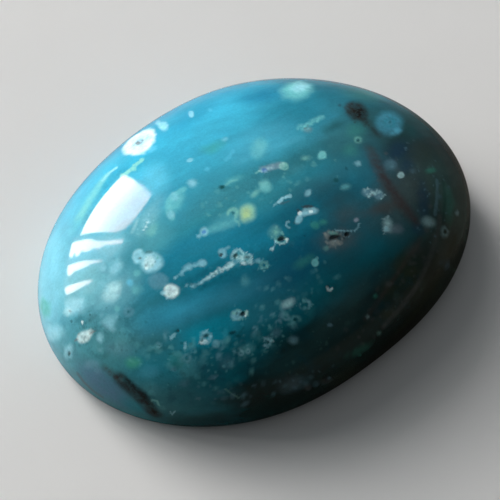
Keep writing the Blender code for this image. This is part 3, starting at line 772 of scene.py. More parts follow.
# Where a mark's edge begins and ends to fade, in its own size: when crisp, and how much further when faded
OUTER_EDGE, OUTER_SOFTENING = 1.08, 0.30
INNER_EDGE, INNER_SOFTENING = 0.92, 0.80
# Crisp marks are thinner in their middle: the strength there, what the rim adds, and from where to where
HEART_STRENGTH, RIM_STRENGTH, RIM_RISE = 0.80, 0.20, (0.30, 0.80)
# An open mark rises round its hollow middle, and is broken where the lumps are low
HOLLOW_RISE = (0.65, 1.35)
BROKEN_RISE = (-0.60, -0.05)
# Broad marks fade out where the dome turns away from the camera
TURNED_AWAY = (-0.45, -0.10)
# From where to where, in their own sizes, clouds, crowds and pits rise from nothing to their full strength
CLOUD_RISE = (1.35, 0.10)
CROWD_RISE = (1.3, 0.35)
PIT_RISE = (1.05, 0.25)
# A crumb's length and strength as shares of its table's, its width as a share of its length, and its look
CRUMB_LENGTHS, CRUMB_WIDTHS, CRUMB_STRENGTHS = (0.6, 1.5), (0.55, 1.0), (0.45, 1.0)
CRUMB_SOFTNESS, CRUMB_GRAIN = 0.55, 0.1
# How far down a face looks where the ground back begins and where it is full
BACK_FACING = (-0.25, -0.75)
SHARP_EDGE = math.radians(50)


class Patch:
    """A mark laid on the dome: gives every place's distance from its middle, 1 at its edge."""

    def __init__(self, dome, sight, mark):
        self.middle = dome.under_pixel(sight, mark.x, mark.y)
        facing = dome.facing(self.middle)
        first = Sight.unit(np.cross(facing, sight.top))
        second = np.cross(facing, first)
        self.axes = np.stack([first, second], axis=1)
        beside = (self.middle, self.middle + first * SEEN_STEP, self.middle + second * SEEN_STEP)
        seen = sight.pixels(np.stack(beside))
        across = np.stack([seen[1] - seen[0], seen[2] - seen[0]], axis=1) / SEEN_STEP
        turn = math.radians(mark.turn)
        to_mark = np.array([[math.cos(turn), -math.sin(turn)], [math.sin(turn), math.cos(turn)]])
        shrink = np.diag([2 / mark.wide, 2 / mark.tall])
        self.to_mark = shrink @ to_mark @ across
        self.reach = MARK_REACH / np.linalg.svd(self.to_mark, compute_uv=False)[-1]

    def distance(self, places, ripple):
        """Each place's distance, with the mark's edge roughened by ripple."""
        out = np.full(len(places), FAR_AWAY)
        away = places - self.middle
        near = np.nonzero((away ** 2).sum(axis=1) < self.reach ** 2)[0]
        if len(near):
            flat = (away[near] @ self.axes) @ self.to_mark.T
            out[near] = np.hypot(flat[:, 0], flat[:, 1]) + ripple[near]
        return out


def smooth_step(value, start, end):
    """0 before start, 1 after end, and a smooth rise between; start may be the greater."""
    share = np.clip((value - start) / (end - start), 0, 1)
    return share * share * (3 - 2 * share)


def roughening(places, size, seed):
    """A smooth random value from -1 to 1 at each place, with lumps of a size."""
    offset = Vector([seed * step for step in SEED_STEP])
    return np.array([noise.noise(Vector(place) / size + offset) for place in places])


def edge_fade(distance, soft):
    """A mark's strength from its middle outwards, falling over its edge at distance 1."""
    return smooth_step(distance, OUTER_EDGE + OUTER_SOFTENING * soft, INNER_EDGE - INNER_SOFTENING * soft)


def streak_distance(dome, sight, streak, places):
    """Each place's distance from a streak's line, 1 at its edge."""
    path = np.stack([dome.under_pixel(sight, x, y) for x, y in streak.pixels])
    depth = (path[0] - sight.eye) @ sight.forward
    half_width = streak.wide / 2 * depth / sight.focal
    best = np.full(len(places), FAR_AWAY)
    for start, end in zip(path, path[1:]):
        run = end - start
        along = np.clip(((places - start) @ run) / (run @ run), 0, 1)
        away = np.linalg.norm(places - start - along[:, None] * run, axis=1) / half_width
        best = np.minimum(best, away)
    return best


class Paint:
    """The marks' tints, laid over each other at each place of the mesh."""

    def __init__(self, dome, sight, places, facings):
        self.dome, self.sight, self.places = dome, sight, places
        self.seen = sight.pixels(places)
        toward = sight.eye - places
        toward /= np.linalg.norm(toward, axis=1)[:, None]
        self.near_side = smooth_step((toward * facings).sum(axis=1), *TURNED_AWAY)
        self.broad = roughening(places, BROAD_LUMPS, seed=1)
        self.coarse = roughening(places, COARSE_LUMPS, seed=2)
        self.medium = roughening(places, MEDIUM_LUMPS, seed=4)
        self.fine = roughening(places, FINE_LUMPS, seed=3)
        self.tint = np.zeros((len(places), 3))
        self.cover = np.zeros(len(places))
        self.grain = np.zeros(len(places))

    def lumpy(self, value, broad=0.0, coarse=0.0, medium=0.0, fine=0.0):
        """A value made uneven by shares of the lumps of each size."""
        return value + broad * self.broad + coarse * self.coarse + medium * self.medium + fine * self.fine

    def lay(self, share, tint, grain=0.0):
        """Lays one mark over those before it."""
        self.tint = self.tint * (1 - share[:, None]) + share[:, None] * np.array(tint)
        self.cover = self.cover * (1 - share) + share
        self.grain = self.grain * (1 - share) + share * grain

    def as_seen(self, mark):
        """Each place's distance from a broad mark's middle in the photograph, 1 at the mark's edge."""
        away = self.seen - np.array([mark.x, mark.y])
        turn = math.radians(mark.turn)
        along = (away[:, 0] * math.cos(turn) - away[:, 1] * math.sin(turn)) * 2 / mark.wide
        across = (away[:, 0] * math.sin(turn) + away[:, 1] * math.cos(turn)) * 2 / mark.tall
        return np.hypot(along, across)

    def lay_cloud(self, cloud):
        distance = self.lumpy(self.as_seen(cloud), broad=0.38, coarse=0.10)
        share = cloud.strength * self.near_side * smooth_step(distance, *CLOUD_RISE)
        self.lay(share, colour(*cloud.tint))

    def lay_mark(self, mark):
        half = min(mark.wide, mark.tall) / 2
        wander, tremble = min(EDGE_WANDER / half, MOST_WANDER), min(EDGE_TREMBLE / half, MOST_TREMBLE)
        ripple = self.lumpy(0.0, coarse=wander * (1 + mark.soft), fine=tremble)
        if max(mark.wide, mark.tall) > BROAD_MARK:
            distance = self.as_seen(mark) + ripple
            strength = mark.strength * self.near_side
        else:
            distance = Patch(self.dome, self.sight, mark).distance(self.places, ripple)
            strength = mark.strength
        uneven = np.clip(0.92 + 0.20 * self.medium + 0.12 * self.coarse, 0, 1)
        if mark.soft < FINE_SOFTNESS:
            uneven = uneven * (HEART_STRENGTH + RIM_STRENGTH * smooth_step(distance, *RIM_RISE))
        share = strength * edge_fade(distance, mark.soft) * uneven
        if mark.hollow:
            share = share * smooth_step(distance, *(part * mark.hollow for part in HOLLOW_RISE))
            share = share * smooth_step(self.lumpy(0.0, coarse=1.0, medium=0.6), *BROKEN_RISE)
        self.lay(share, colour(*TINTS[mark.tint]), mark.grain)

    def lay_streak(self, streak):
        distance = streak_distance(self.dome, self.sight, streak, self.places)
        ragged = min(1, THIN_STREAK / streak.wide)
        distance = distance + ragged * self.lumpy(0.0, coarse=0.40, medium=0.35, fine=0.20)
        distance = distance + (1 - ragged) * 0.35 * roughening(self.places, STREAK_LUMPS, seed=5)
        uneven = np.clip(self.lumpy(0.90, coarse=0.45, medium=0.30), 0.25, 1)
        share = streak.strength * edge_fade(distance, streak.soft) * uneven
        self.lay(share, colour(*TINTS[streak.tint]), streak.grain)

    def crowd(self, crowds):
        """How densely small beads or specks crowd at each place; on the hidden side, fully."""
        density = np.zeros(len(self.places))
        for crowd in crowds:
            distance = self.lumpy(self.as_seen(crowd), broad=0.35)
            share = crowd.strength * self.near_side * smooth_step(distance, *CROWD_RISE)
            density = np.maximum(density, share)
        return np.maximum(density, 1 - self.near_side)


def crumb_marks(crumb_rows):
    """The small marks of a table of crumbs."""
    marks = []
    for crumbs in crumb_rows:
        chance = random.Random(crumbs.name)
        path = [np.array(pixel, float) for pixel in crumbs.pixels]
        for step in range(crumbs.count):
            along = (step + chance.random()) / crumbs.count * (len(path) - 1)
            part = min(int(along), len(path) - 2)
            spot = path[part] + (path[part + 1] - path[part]) * (along - part)
            share = along / (len(path) - 1)
            spread = crumbs.spread[0] + (crumbs.spread[1] - crumbs.spread[0]) * share
            spot = spot + np.array([chance.uniform(-1, 1), chance.uniform(-1, 1)]) * spread / 2
            wide = crumbs.size * chance.uniform(*CRUMB_LENGTHS)
            tall = wide * chance.uniform(*CRUMB_WIDTHS)
            turn = chance.uniform(0, 180)
            strength = crumbs.strength * chance.uniform(*CRUMB_STRENGTHS)
            marks.append(Mark(crumbs.name, *spot, wide, tall, turn, crumbs.tint, strength,
                              CRUMB_SOFTNESS, CRUMB_GRAIN, crumbs.hollow))
    return tuple(marks)


def paint_marks(dome, sight, places, facings):
    """Lays all the marks; gives the values that the mesh carries."""
    paint = Paint(dome, sight, places, facings)
    for cloud in CLOUDS:
        paint.lay_cloud(cloud)
    clouds = np.column_stack([paint.tint, paint.cover])
    paint.tint, paint.cover = paint.tint * 0, paint.cover * 0
    for mark in HAZES:
        paint.lay_mark(mark)
    for streak in LINES:
        paint.lay_streak(streak)
    for mark in BEADS + crumb_marks(PALE_CRUMBS) + DARKS + crumb_marks(DARK_CRUMBS):
        paint.lay_mark(mark)
    marks = np.column_stack([paint.tint, paint.cover])
    numbers = {
        "grain": paint.grain,
        "bead_crowd": paint.crowd(BEAD_CROWDS),
        "speck_crowd": paint.crowd(SPECK_CROWDS),
    }
    return {"clouds": clouds, "marks": marks}, numbers


def dome_mesh(dome):
    """The smooth stone as a fine closed mesh of growing rings, before its pits."""
    turns = np.linspace(0, math.pi / 2, CURVE_SAMPLES)
    shares = np.sin(turns) ** (2 / DOME_FULLNESS)
    runs = np.diff(shares) * dome.half.mean()
    drops = np.diff(dome.rise(shares))
    lengths = np.concatenate([[0.0], np.cumsum(np.hypot(runs, drops))])
    ring_shares = np.interp(np.linspace(0, lengths[-1], DOME_RINGS + 1), lengths, shares)
    ring_shares[-1] = 1.0
    widest = POINTS_PER_RING * DOME_RINGS
    rows = [(1, ring_shares[0], None)]
    rows += [(POINTS_PER_RING * ring, ring_shares[ring], None) for ring in range(1, DOME_RINGS + 1)]
    rows += [(widest, kept, level) for kept, level in EDGE_STEPS]
    places, starts = [], []
    total = 0
    for count, share, level in rows:
        starts.append(total)
        angles = math.tau * np.arange(count) / count
        radii = outline_radius(angles, *dome.half) * share
        height = dome.rise(share) if level is None else dome.low[2] + GIRDLE_HEIGHT * level
        xs = radii * np.cos(angles) + dome.shift[0]
        ys = radii * np.sin(angles) + dome.shift[1]
        places.append(np.stack([xs, ys, np.full(count, height)], axis=1))
        total += count
    faces = []
    for ring in range(1, DOME_RINGS + 1):
        faces += growing_band(starts[ring - 1], starts[ring], ring)
    for row in range(DOME_RINGS, DOME_RINGS + len(EDGE_STEPS)):
        faces += even_band(starts[row], starts[row + 1], widest)
    faces.append([starts[-1] + step for step in range(widest - 1, -1, -1)])
    return np.concatenate(places), faces


def growing_band(inner, outer, ring):
    """Triangles between one ring and the next, which has one more point in each sixth of the turn."""
    faces = []
    inner_count = max(1, POINTS_PER_RING * (ring - 1))
    outer_count = POINTS_PER_RING * ring
    for sixth in range(POINTS_PER_RING):
        for step in range(ring):
            low = outer + sixth * ring + step
            high = outer + (sixth * ring + step + 1) % outer_count
            middle = inner + (sixth * (ring - 1) + step) % inner_count
            faces.append((low, high, middle))
            if step < ring - 1:
                after = inner + (sixth * (ring - 1) + step + 1) % inner_count
                faces.append((middle, high, after))
    return faces


def even_band(upper, lower, count):
    """Four-sided faces between two rings with as many points."""
    faces = []
    for step in range(count):
        after = (step + 1) % count
        faces.append((upper + step, lower + step, lower + after, upper + after))
    return faces


def refine(mesh, dome, sight, marks, streaks):
    """Splits the mesh's faces near marks and streaks, and lays the new points on the dome."""
    mesh.faces.ensure_lookup_table()
    centres = np.array([face.calc_center_median() for face in mesh.faces])
    still = np.zeros(len(centres))
    near = np.zeros(len(centres), bool)
    for mark in marks:
        near |= Patch(dome, sight, mark).distance(centres, still) < FINER_REACH
    for streak in streaks:
        near |= streak_distance(dome, sight, streak, centres) < STREAK_REACH
    edges = {edge for index in np.nonzero(near)[0] for edge in mesh.faces[index].edges}
    made = bmesh.ops.subdivide_edges(mesh, edges=list(edges), cuts=1, use_grid_fill=False)
    for item in made["geom_inner"]:
        if isinstance(item, bmesh.types.BMVert) and item.co.z > STEEP_BELOW:
            item.co.z = float(dome.top(item.co.x, item.co.y))


def refine_twice(mesh, dome, sight):
    """Makes the mesh finer near crisp marks and pits, and finer again near the crispest and smallest."""
    small = [mark for mark in BEADS + DARKS if mark.soft <= FINE_SOFTNESS or mark in DARKS]
    crisp = [mark for mark in small if mark.soft <= FINEST_SOFTNESS or min(mark.wide, mark.tall) < SMALL_MARK]
    small += [mark for mark in crumb_marks(PALE_CRUMBS) + crumb_marks(DARK_CRUMBS) if mark.wide < SMALL_MARK]
    slim = [streak for streak in LINES if streak.wide <= BROAD_STREAK]
    thin = [streak for streak in LINES if streak.wide <= THIN_STREAK and streak.soft < FINE_SOFTNESS]
    refine(mesh, dome, sight, small + list(PITS), slim)
    refine(mesh, dome, sight, crisp + list(PITS), thin)
    bmesh.ops.triangulate(mesh, faces=[face for face in mesh.faces if len(face.verts) in (4, 5, 6)])


def pit_depths(dome, sight, places):
    """How far each place is sunk, and how deep in a pit it is from 0 to 1."""
    ripple = 0.25 * roughening(places, PIT_LUMPS, seed=3)
    sunk, inside = np.zeros(len(places)), np.zeros(len(places))
    for pit in PITS:
        distance = Patch(dome, sight, pit).distance(places, ripple)
        bowl = smooth_step(distance, *PIT_RISE)
        sunk = np.maximum(sunk, pit.depth * MM * bowl)
        inside = np.maximum(inside, bowl)
    return sunk, inside


def new_thing(name, data):
    """Links a new object to the scene."""
    thing = bpy.data.objects.new(name, data)
    bpy.context.scene.collection.objects.link(thing)
    return thing


def make_stone(dome, sight):
    """The fine stone, with its pits sunk and its marks carried as named values."""
    places, faces = dome_mesh(dome)
    data = bpy.data.meshes.new("polished stone")
    data.from_pydata([tuple(place) for place in places], [], faces)
    mesh = bmesh.new()
    mesh.from_mesh(data)
    refine_twice(mesh, dome, sight)
    mesh.normal_update()
    mesh.verts.ensure_lookup_table()
    places = np.array([vertex.co for vertex in mesh.verts])
    facings = np.array([vertex.normal for vertex in mesh.verts])
    sunk, inside = pit_depths(dome, sight, places)
    colours, numbers = paint_marks(dome, sight, places, facings)
    numbers["pit"] = inside
    numbers["ground"] = smooth_step(facings[:, 2], *BACK_FACING)
    for vertex, place in zip(mesh.verts, places - facings * sunk[:, None]):
        vertex.co = place
    mesh.to_mesh(data)
    mesh.free()
    data.shade_smooth()
    data.set_sharp_from_angle(angle=SHARP_EDGE)
    for name, values in numbers.items():
        layer = data.attributes.new(name, "FLOAT", "POINT")
        layer.data.foreach_set("value", values.astype(np.float32))
    for name, values in colours.items():
        layer = data.attributes.new(name, "FLOAT_COLOR", "POINT")
        layer.data.foreach_set("color", values.astype(np.float32).ravel())
    return new_thing("polished_gem_silica", data)


class Wiring:
    """Short ways to place and join the nodes of one material or group."""

    def __init__(self, tree):
        self.tree = tree
        self.tree.nodes.clear()

    def node(self, kind, **settings):
        made = self.tree.nodes.new(kind)
        for name, value in settings.items():
            setattr(made, name, value)
        return made

    def feed(self, socket, value):
        if isinstance(value, bpy.types.NodeSocket):
            self.tree.links.new(value, socket)
        elif value is not None:
            socket.default_value = value

    def math(self, operation, first, second=None, clamp=False):
        made = self.node("ShaderNodeMath", operation=operation, use_clamp=clamp)
        self.feed(made.inputs[0], first)
        self.feed(made.inputs[1], second)
        return made.outputs[0]

    def times(self, first, *others):
        for other in others:
            first = self.math("MULTIPLY", first, other)
        return first

    def vector(self, operation, first, second=None):
        made = self.node("ShaderNodeVectorMath", operation=operation)
        self.feed(made.inputs[0], first)
        self.feed(made.inputs["Scale" if operation == "SCALE" else 1], second)
        return made.outputs["Value"] if operation in ("LENGTH", "DOT_PRODUCT") else made.outputs["Vector"]

    def span(self, value, start, end, to=(0.0, 1.0), smooth=True):
        made = self.node("ShaderNodeMapRange", interpolation_type="SMOOTHSTEP" if smooth else "LINEAR")
        names = ("Value", "From Min", "From Max", "To Min", "To Max")
        for name, item in zip(names, (value, start, end, *to)):
            self.feed(made.inputs[name], item)
        return made.outputs[0]

    def mix(self, share, under, over, blend="MIX"):
        made = self.node("ShaderNodeMix", data_type="RGBA", blend_type=blend)
        self.feed(made.inputs["Factor"], share)
        self.feed(made.inputs[6], under)
        self.feed(made.inputs[7], over)
        return made.outputs[2]

    def noise(self, place, scale, detail=2.0, rough=0.5):
        made = self.node("ShaderNodeTexNoise")
        for name, item in (("Vector", place), ("Scale", scale), ("Detail", detail), ("Roughness", rough)):
            self.feed(made.inputs[name], item)
        return made.outputs

    def stretched_noise(self, place, stretch, detail=2.0, rough=0.5):
        return self.noise(self.vector("MULTIPLY", place, stretch), 1.0, detail, rough)

    def cells(self, place, fineness, feature):
        made = self.node("ShaderNodeTexVoronoi", feature=feature)
        self.feed(made.inputs["Vector"], place)
        self.feed(made.inputs["Scale"], fineness)
        return made.outputs

    def pushed(self, place, waves, most):
        """A place pushed about by the colours of a noise."""
        push = self.vector("SUBTRACT", waves["Color"], (0.5, 0.5, 0.5))
        return self.vector("ADD", place, self.vector("SCALE", push, most))

    def ramp(self, value, bands):
        made = self.node("ShaderNodeValToRGB")
        self.feed(made.inputs[0], value)
        points = made.color_ramp.elements
        while len(points) < len(bands):
            points.new(0.5)
        for point, (position, *screen) in zip(points, bands):
            point.position = position
            point.color = (*colour(*screen), 1.0)
        return made.outputs[0]

    def value(self, name):
        return self.node("ShaderNodeAttribute", attribute_name=name).outputs["Fac"]

    def object_place(self):
        return self.node("ShaderNodeTexCoord").outputs["Object"]

    def mirrored(self):
        """1 where the polish mirrors the thing, and 0 where it is seen or gives light."""
        return self.node("ShaderNodeLightPath").outputs["Is Glossy Ray"]

    def use(self, group, **inputs):
        made = self.node("ShaderNodeGroup", node_tree=group)
        for name, item in inputs.items():
            self.feed(made.inputs[name.replace("_", " ").capitalize()], item)
        return made.outputs


def new_group(name, inputs, outputs):
    """An empty shader group with named sockets, its wiring and its two ends."""
    tree = bpy.data.node_groups.new(name, "ShaderNodeTree")
    for socket, kind, start in inputs:
        made = tree.interface.new_socket(name=socket, in_out="INPUT", socket_type=kind)
        if start is not None:
            made.default_value = start
    for socket, kind in outputs:
        tree.interface.new_socket(name=socket, in_out="OUTPUT", socket_type=kind)
    wire = Wiring(tree)
    return tree, wire, wire.node("NodeGroupInput").outputs, wire.node("NodeGroupOutput").inputs


def new_material(name, kind="ShaderNodeBsdfPrincipled"):
    """A material, its wiring and its shader."""
    material = bpy.data.materials.new(name)
    material.use_nodes = True
    wire = Wiring(material.node_tree)
    shader = wire.node(kind)
    wire.feed(wire.node("ShaderNodeOutputMaterial").inputs["Surface"], shader.outputs[0])
    return material, wire, shader


VECTOR, FLOAT = "NodeSocketVector", "NodeSocketFloat"
# How fine the growth's waves, streaks and fibres are along and across it, and how far the waves bend it
LONG_WAVES, LONG_BEND = (0.10, 0.22, 0.22), 3.0
SHORT_WAVES, SHORT_BEND = (0.35, 0.8, 0.8), 1.2
STREAK_FINENESS, FIBRE_FINENESS = (0.22, 0.75, 0.75), (0.45, 1.3, 1.3)
# How strewn spots differ from each other, as shares of their size and of their strength
SPOT_SIZES, SPOT_STRENGTHS = (0.4, 1.2), (0.25, 1.0)
# The net's walls, by how far a place is from them, and the lumps in which its cells are open
NET_WALLS, NET_LUMPS = (0.08, 0.34), (0.42, 0.60)
# How far a noise pushes the spots' and the net's places about
SPOT_WOBBLE, NET_WOBBLE = 0.25, 0.30


def colour(red, green, blue):
    """A colour from screen values out of 255, as the light values that shaders take."""
    def light(value):
        share = value / 255
        return share / 12.92 if share <= 0.04045 else ((share + 0.055) / 1.055) ** 2.4
    return (light(red), light(green), light(blue))


def growth_group():
    """Bends the growth bands as they grew: the place along and across them, and their finer streaks."""
    tree, wire, given, result = new_group(
        "growth bands",
        (("Place", VECTOR, None),),
        (("Along", FLOAT), ("Across", FLOAT), ("Streaks", FLOAT), ("Fibres", FLOAT)),
    )
    long_waves = wire.stretched_noise(given["Place"], LONG_WAVES)
    short_waves = wire.stretched_noise(given["Place"], SHORT_WAVES)
    bent = wire.pushed(wire.pushed(given["Place"], long_waves, LONG_BEND), short_waves, SHORT_BEND)
    parts = wire.node("ShaderNodeSeparateXYZ")
    wire.feed(parts.inputs[0], bent)
    wire.feed(result["Along"], parts.outputs["X"])
    wire.feed(result["Across"], parts.outputs["Y"])
    wire.feed(result["Streaks"], wire.stretched_noise(bent, STREAK_FINENESS)["Fac"])
    wire.feed(result["Fibres"], wire.stretched_noise(bent, FIBRE_FINENESS, detail=4.0, rough=0.6)["Fac"])
    return tree


def strewn_group():
    """Small scattered spots: how strongly one covers a place."""
    tree, wire, given, result = new_group(
        "strewn spots",
        (("Place", VECTOR, None), ("Fineness", FLOAT, 1.0), ("Share", FLOAT, 0.2), ("Size", FLOAT, 0.3),
         ("Softness", FLOAT, 0.5)),
        (("Mask", FLOAT),),
    )
    wobble = wire.noise(given["Place"], scale=4.0)
    cells = wire.cells(wire.pushed(given["Place"], wobble, SPOT_WOBBLE), given["Fineness"], "F1")
    chance = wire.node("ShaderNodeSeparateColor")
    wire.feed(chance.inputs[0], cells["Color"])
    picked = wire.math("LESS_THAN", chance.outputs[0], given["Share"])
    own_size = wire.times(given["Size"], wire.span(chance.outputs[1], 0.0, 1.0, to=SPOT_SIZES, smooth=False))
    heart = wire.times(own_size, wire.math("SUBTRACT", 1.0, given["Softness"]))
    spot = wire.span(cells["Distance"], own_size, heart)
    own_strength = wire.span(chance.outputs[2], 0.0, 1.0, to=SPOT_STRENGTHS, smooth=False)
    wire.feed(result["Mask"], wire.times(spot, picked, own_strength))
    return tree


def crumb_group():
    """The net of a granular mark: 1 on the pale walls between its small cells, lower inside the cells."""
    tree, wire, given, result = new_group(
        "crystal net",
        (("Place", VECTOR, None), ("Fineness", FLOAT, 5.0), ("Cell depth", FLOAT, 0.8)),
        (("Grains", FLOAT),),
    )
    wobble = wire.noise(given["Place"], scale=5.0, detail=3.0)
    pushed = wire.pushed(given["Place"], wobble, NET_WOBBLE)
    cells = wire.cells(pushed, given["Fineness"], "DISTANCE_TO_EDGE")
    lumps = wire.noise(given["Place"], scale=4.0, detail=3.0, rough=0.6)
    inside = wire.span(cells["Distance"], *NET_WALLS)
    open_cell = wire.times(inside, wire.span(lumps["Fac"], *NET_LUMPS), given["Cell depth"])
    wire.feed(result["Grains"], wire.math("SUBTRACT", 1.0, open_cell))
    return tree


# Body colours across the growth bands, as screen values, from the front edge (0) to the back edge (1)
LEFT_BANDS = (
    (0.05, 28, 58, 58),
    (0.20, 56, 118, 124),
    (0.36, 56, 124, 134),
    (0.46, 74, 146, 158),
    (0.60, 104, 172, 188),
    (0.80, 90, 164, 184),
    (0.95, 60, 132, 158),
)
MIDDLE_BANDS = (
    (0.00, 6, 14, 10),
    (0.07, 4, 40, 40),
    (0.16, 4, 98, 110),
    (0.30, 4, 106, 126),
    (0.42, 26, 126, 148),
    (0.50, 46, 134, 148),
    (0.58, 56, 148, 168),
    (0.80, 56, 162, 190),
    (0.94, 46, 138, 166),
)
RIGHT_BANDS = (
    (0.00, 18, 24, 16),
    (0.12, 32, 44, 34),
    (0.28, 54, 76, 74),
    (0.42, 44, 66, 70),
    (0.54, 38, 86, 92),
    (0.70, 36, 106, 122),
    (0.90, 34, 104, 120),
)
# Where, as shares of half the length, the left bands turn into the middle ones and those into the right ones
LEFT_TO_MIDDLE = (-0.85, -0.45)
MIDDLE_TO_RIGHT = (0.15, 0.65)
DARK_HOLLOW = (*colour(6, 66, 78), 1.0)
DARK_SPECK = (*colour(6, 48, 46), 1.0)
PIT_COLOUR = (*colour(14, 26, 24), 1.0)
# A bead is the stone under it, brightened by a factor and then by an even haze
BEAD_BRIGHTENING = 1.5
BEAD_HAZE = (0.06, 0.12, 0.10)
# Spots strewn where beads crowd, from large and faint to small: fineness, share, size, softness, strength
STREWN_BEADS = (
    (0.85, 0.60, 0.46, 0.75, 0.34),
    (1.6, 0.50, 0.40, 0.60, 0.34),
    (2.7, 0.34, 0.38, 0.60, 0.30),
    (5.0, 0.14, 0.40, 0.70, 0.22),
)
HOLLOW_STRENGTH = 0.35
SPECK_STRENGTH = 0.75
PIT_DARKENING = 0.15
# Polish, and how much duller the pits and the ground back are
POLISH = (0.05, 0.09)
PIT_DULLNESS = 0.5
BACK_DULLNESS = 0.4
# Relief of granular marks, pits and the ground back, as shares of the bump's height
NET_RELIEF, PIT_RELIEF, BACK_RELIEF = 0.5, 1.0, 0.8
BUMP_STRENGTH, BUMP_HEIGHT = 0.35, 0.02 * MM
STONE_VALUES = {
    "IOR": 1.54,
    "Subsurface Weight": 0.40,
    "Subsurface Radius": (1.0, 0.72, 0.64),
    "Subsurface Scale": 0.6 * MM,
}


def laid_over(wire, tint, name, share):
    """Lays the tints that the mesh carries under a name over a tint, weakened by share."""
    carried = wire.node("ShaderNodeAttribute", attribute_name=name)
    cover = wire.math("MULTIPLY", carried.outputs["Alpha"], share, clamp=True)
    left = wire.mix(cover, tint, (0.0, 0.0, 0.0, 1.0))
    added = wire.vector("SCALE", carried.outputs["Color"], share)
    return wire.mix(1.0, left, added, "ADD")


def body_colour(wire, growth, dome):
    """The stone's colour before its clouds and marks: growth bands, changing from one end to the other."""
    half_length, half_width = dome.half / MM
    across = wire.span(growth["Across"], -half_width, half_width, smooth=False)
    uneven = wire.span(growth["Streaks"], 0.2, 0.8, to=(-0.05, 0.05), smooth=False)
    across = wire.math("ADD", across, uneven)
    tint = wire.ramp(across, LEFT_BANDS)
    for bands, turning in ((MIDDLE_BANDS, LEFT_TO_MIDDLE), (RIGHT_BANDS, MIDDLE_TO_RIGHT)):
        turned = wire.span(growth["Along"], *(share * half_length for share in turning))
        tint = wire.mix(turned, tint, wire.ramp(across, bands))
    return tint


def strewn_over(wire, place, tint):
    """Lays dark hollows, beads and dark specks over a tint where the mesh says that they crowd."""
    strewn = strewn_group()
    crowd = wire.value("bead_crowd")
    hollows = wire.span(wire.noise(place, scale=1.5, detail=3.0, rough=0.6)["Fac"], 0.50, 0.34)
    tint = wire.mix(wire.times(hollows, crowd, HOLLOW_STRENGTH), tint, DARK_HOLLOW)
    for fineness, share, size, softness, strength in STREWN_BEADS:
        spots = wire.use(strewn, place=place, fineness=fineness, share=share, size=size, softness=softness)
        bead = wire.vector("ADD", wire.vector("SCALE", tint, BEAD_BRIGHTENING), BEAD_HAZE)
        tint = wire.mix(wire.times(spots["Mask"], crowd, strength), tint, bead)
    specks = wire.use(strewn, place=place, fineness=2.6, share=0.34, size=0.30, softness=0.6)
    return wire.mix(wire.times(specks["Mask"], wire.value("speck_crowd"), SPECK_STRENGTH), tint, DARK_SPECK)


def stone_material(dome):
    """Chalcedony coloured by copper: milky bands, clouds, beads and cut orbs under a clear polish."""
    material, wire, shader = new_material("gem silica")
    place = wire.vector("SCALE", wire.object_place(), 1 / MM)
    growth = wire.use(growth_group(), place=place)
    amount, pit, ground = wire.value("grain"), wire.value("pit"), wire.value("ground")

    # Bands and clouds, with thin paler and darker fibres along the growth, and what is strewn over them
    tint = body_colour(wire, growth, dome)
    tint = laid_over(wire, tint, "clouds", wire.span(growth["Streaks"], 0.25, 0.7, to=(0.80, 1.0)))
    tint = wire.vector("SCALE", tint, wire.span(growth["Fibres"], 0.25, 0.75, to=(0.91, 1.10)))
    tint = strewn_over(wire, place, tint)

    # The marks, thinned by a mottle and broken into grains where they are granular
    mottle = wire.noise(place, scale=3.4, detail=4.0, rough=0.62)["Fac"]
    mottle = wire.span(mottle, 0.30, 0.60, to=(0.74, 1.0))
    grains = wire.use(crumb_group(), place=place, fineness=4.6, cell_depth=0.95)["Grains"]
    kept = wire.math("SUBTRACT", 1.0, wire.times(amount, wire.math("SUBTRACT", 1.0, grains)))
    tint = laid_over(wire, tint, "marks", wire.times(mottle, kept))
    tint = wire.mix(wire.times(pit, PIT_DARKENING), tint, PIT_COLOUR)

    # A fine cloudiness everywhere
    powder = wire.noise(place, scale=9.0, detail=4.0, rough=0.65)["Fac"]
    shade = wire.span(powder, 0.25, 0.75, to=(0.90, 1.10), smooth=False)
    wire.feed(shader.inputs["Base Color"], wire.vector("SCALE", tint, shade))

    # A high polish, duller in pits and on the ground back
    rough = wire.span(wire.noise(place, scale=0.8, detail=3.0)["Fac"], 0.3, 0.7, to=POLISH)
    rough = wire.math("MAXIMUM", rough, wire.times(pit, PIT_DULLNESS))
    rough = wire.math("ADD", rough, wire.times(ground, BACK_DULLNESS))
    wire.feed(shader.inputs["Roughness"], rough)

    powder = wire.noise(place, scale=16.0, rough=0.6)["Fac"]
    relief = wire.times(grains, amount, NET_RELIEF)
    relief = wire.math("ADD", relief, wire.times(powder, pit, PIT_RELIEF))
    relief = wire.math("ADD", relief, wire.times(powder, ground, BACK_RELIEF))
    bump = wire.node("ShaderNodeBump")
    bump.inputs["Strength"].default_value = BUMP_STRENGTH
    bump.inputs["Distance"].default_value = BUMP_HEIGHT
    wire.feed(bump.inputs["Height"], relief)
    wire.feed(shader.inputs["Normal"], bump.outputs[0])

    for name, value in STONE_VALUES.items():
        shader.inputs[name].default_value = value
    return material


# What the polish mirrors: parts of a slatted window, each by the bearing and elevation of its corners. A
# bearing turns from the photograph's right (0) away from the camera (90) to its left (180).
Pane = namedtuple("Pane", "name radiance far_radiance tint corners away", defaults=(0.60,))
SKY_TINT = (0.80, 0.92, 1.0)
WHITE_TINT = (1.0, 0.98, 0.98)
# The tint of a pane's far, higher end as the polish mirrors it
FAR_TINT = (1.0, 0.66, 0.62)
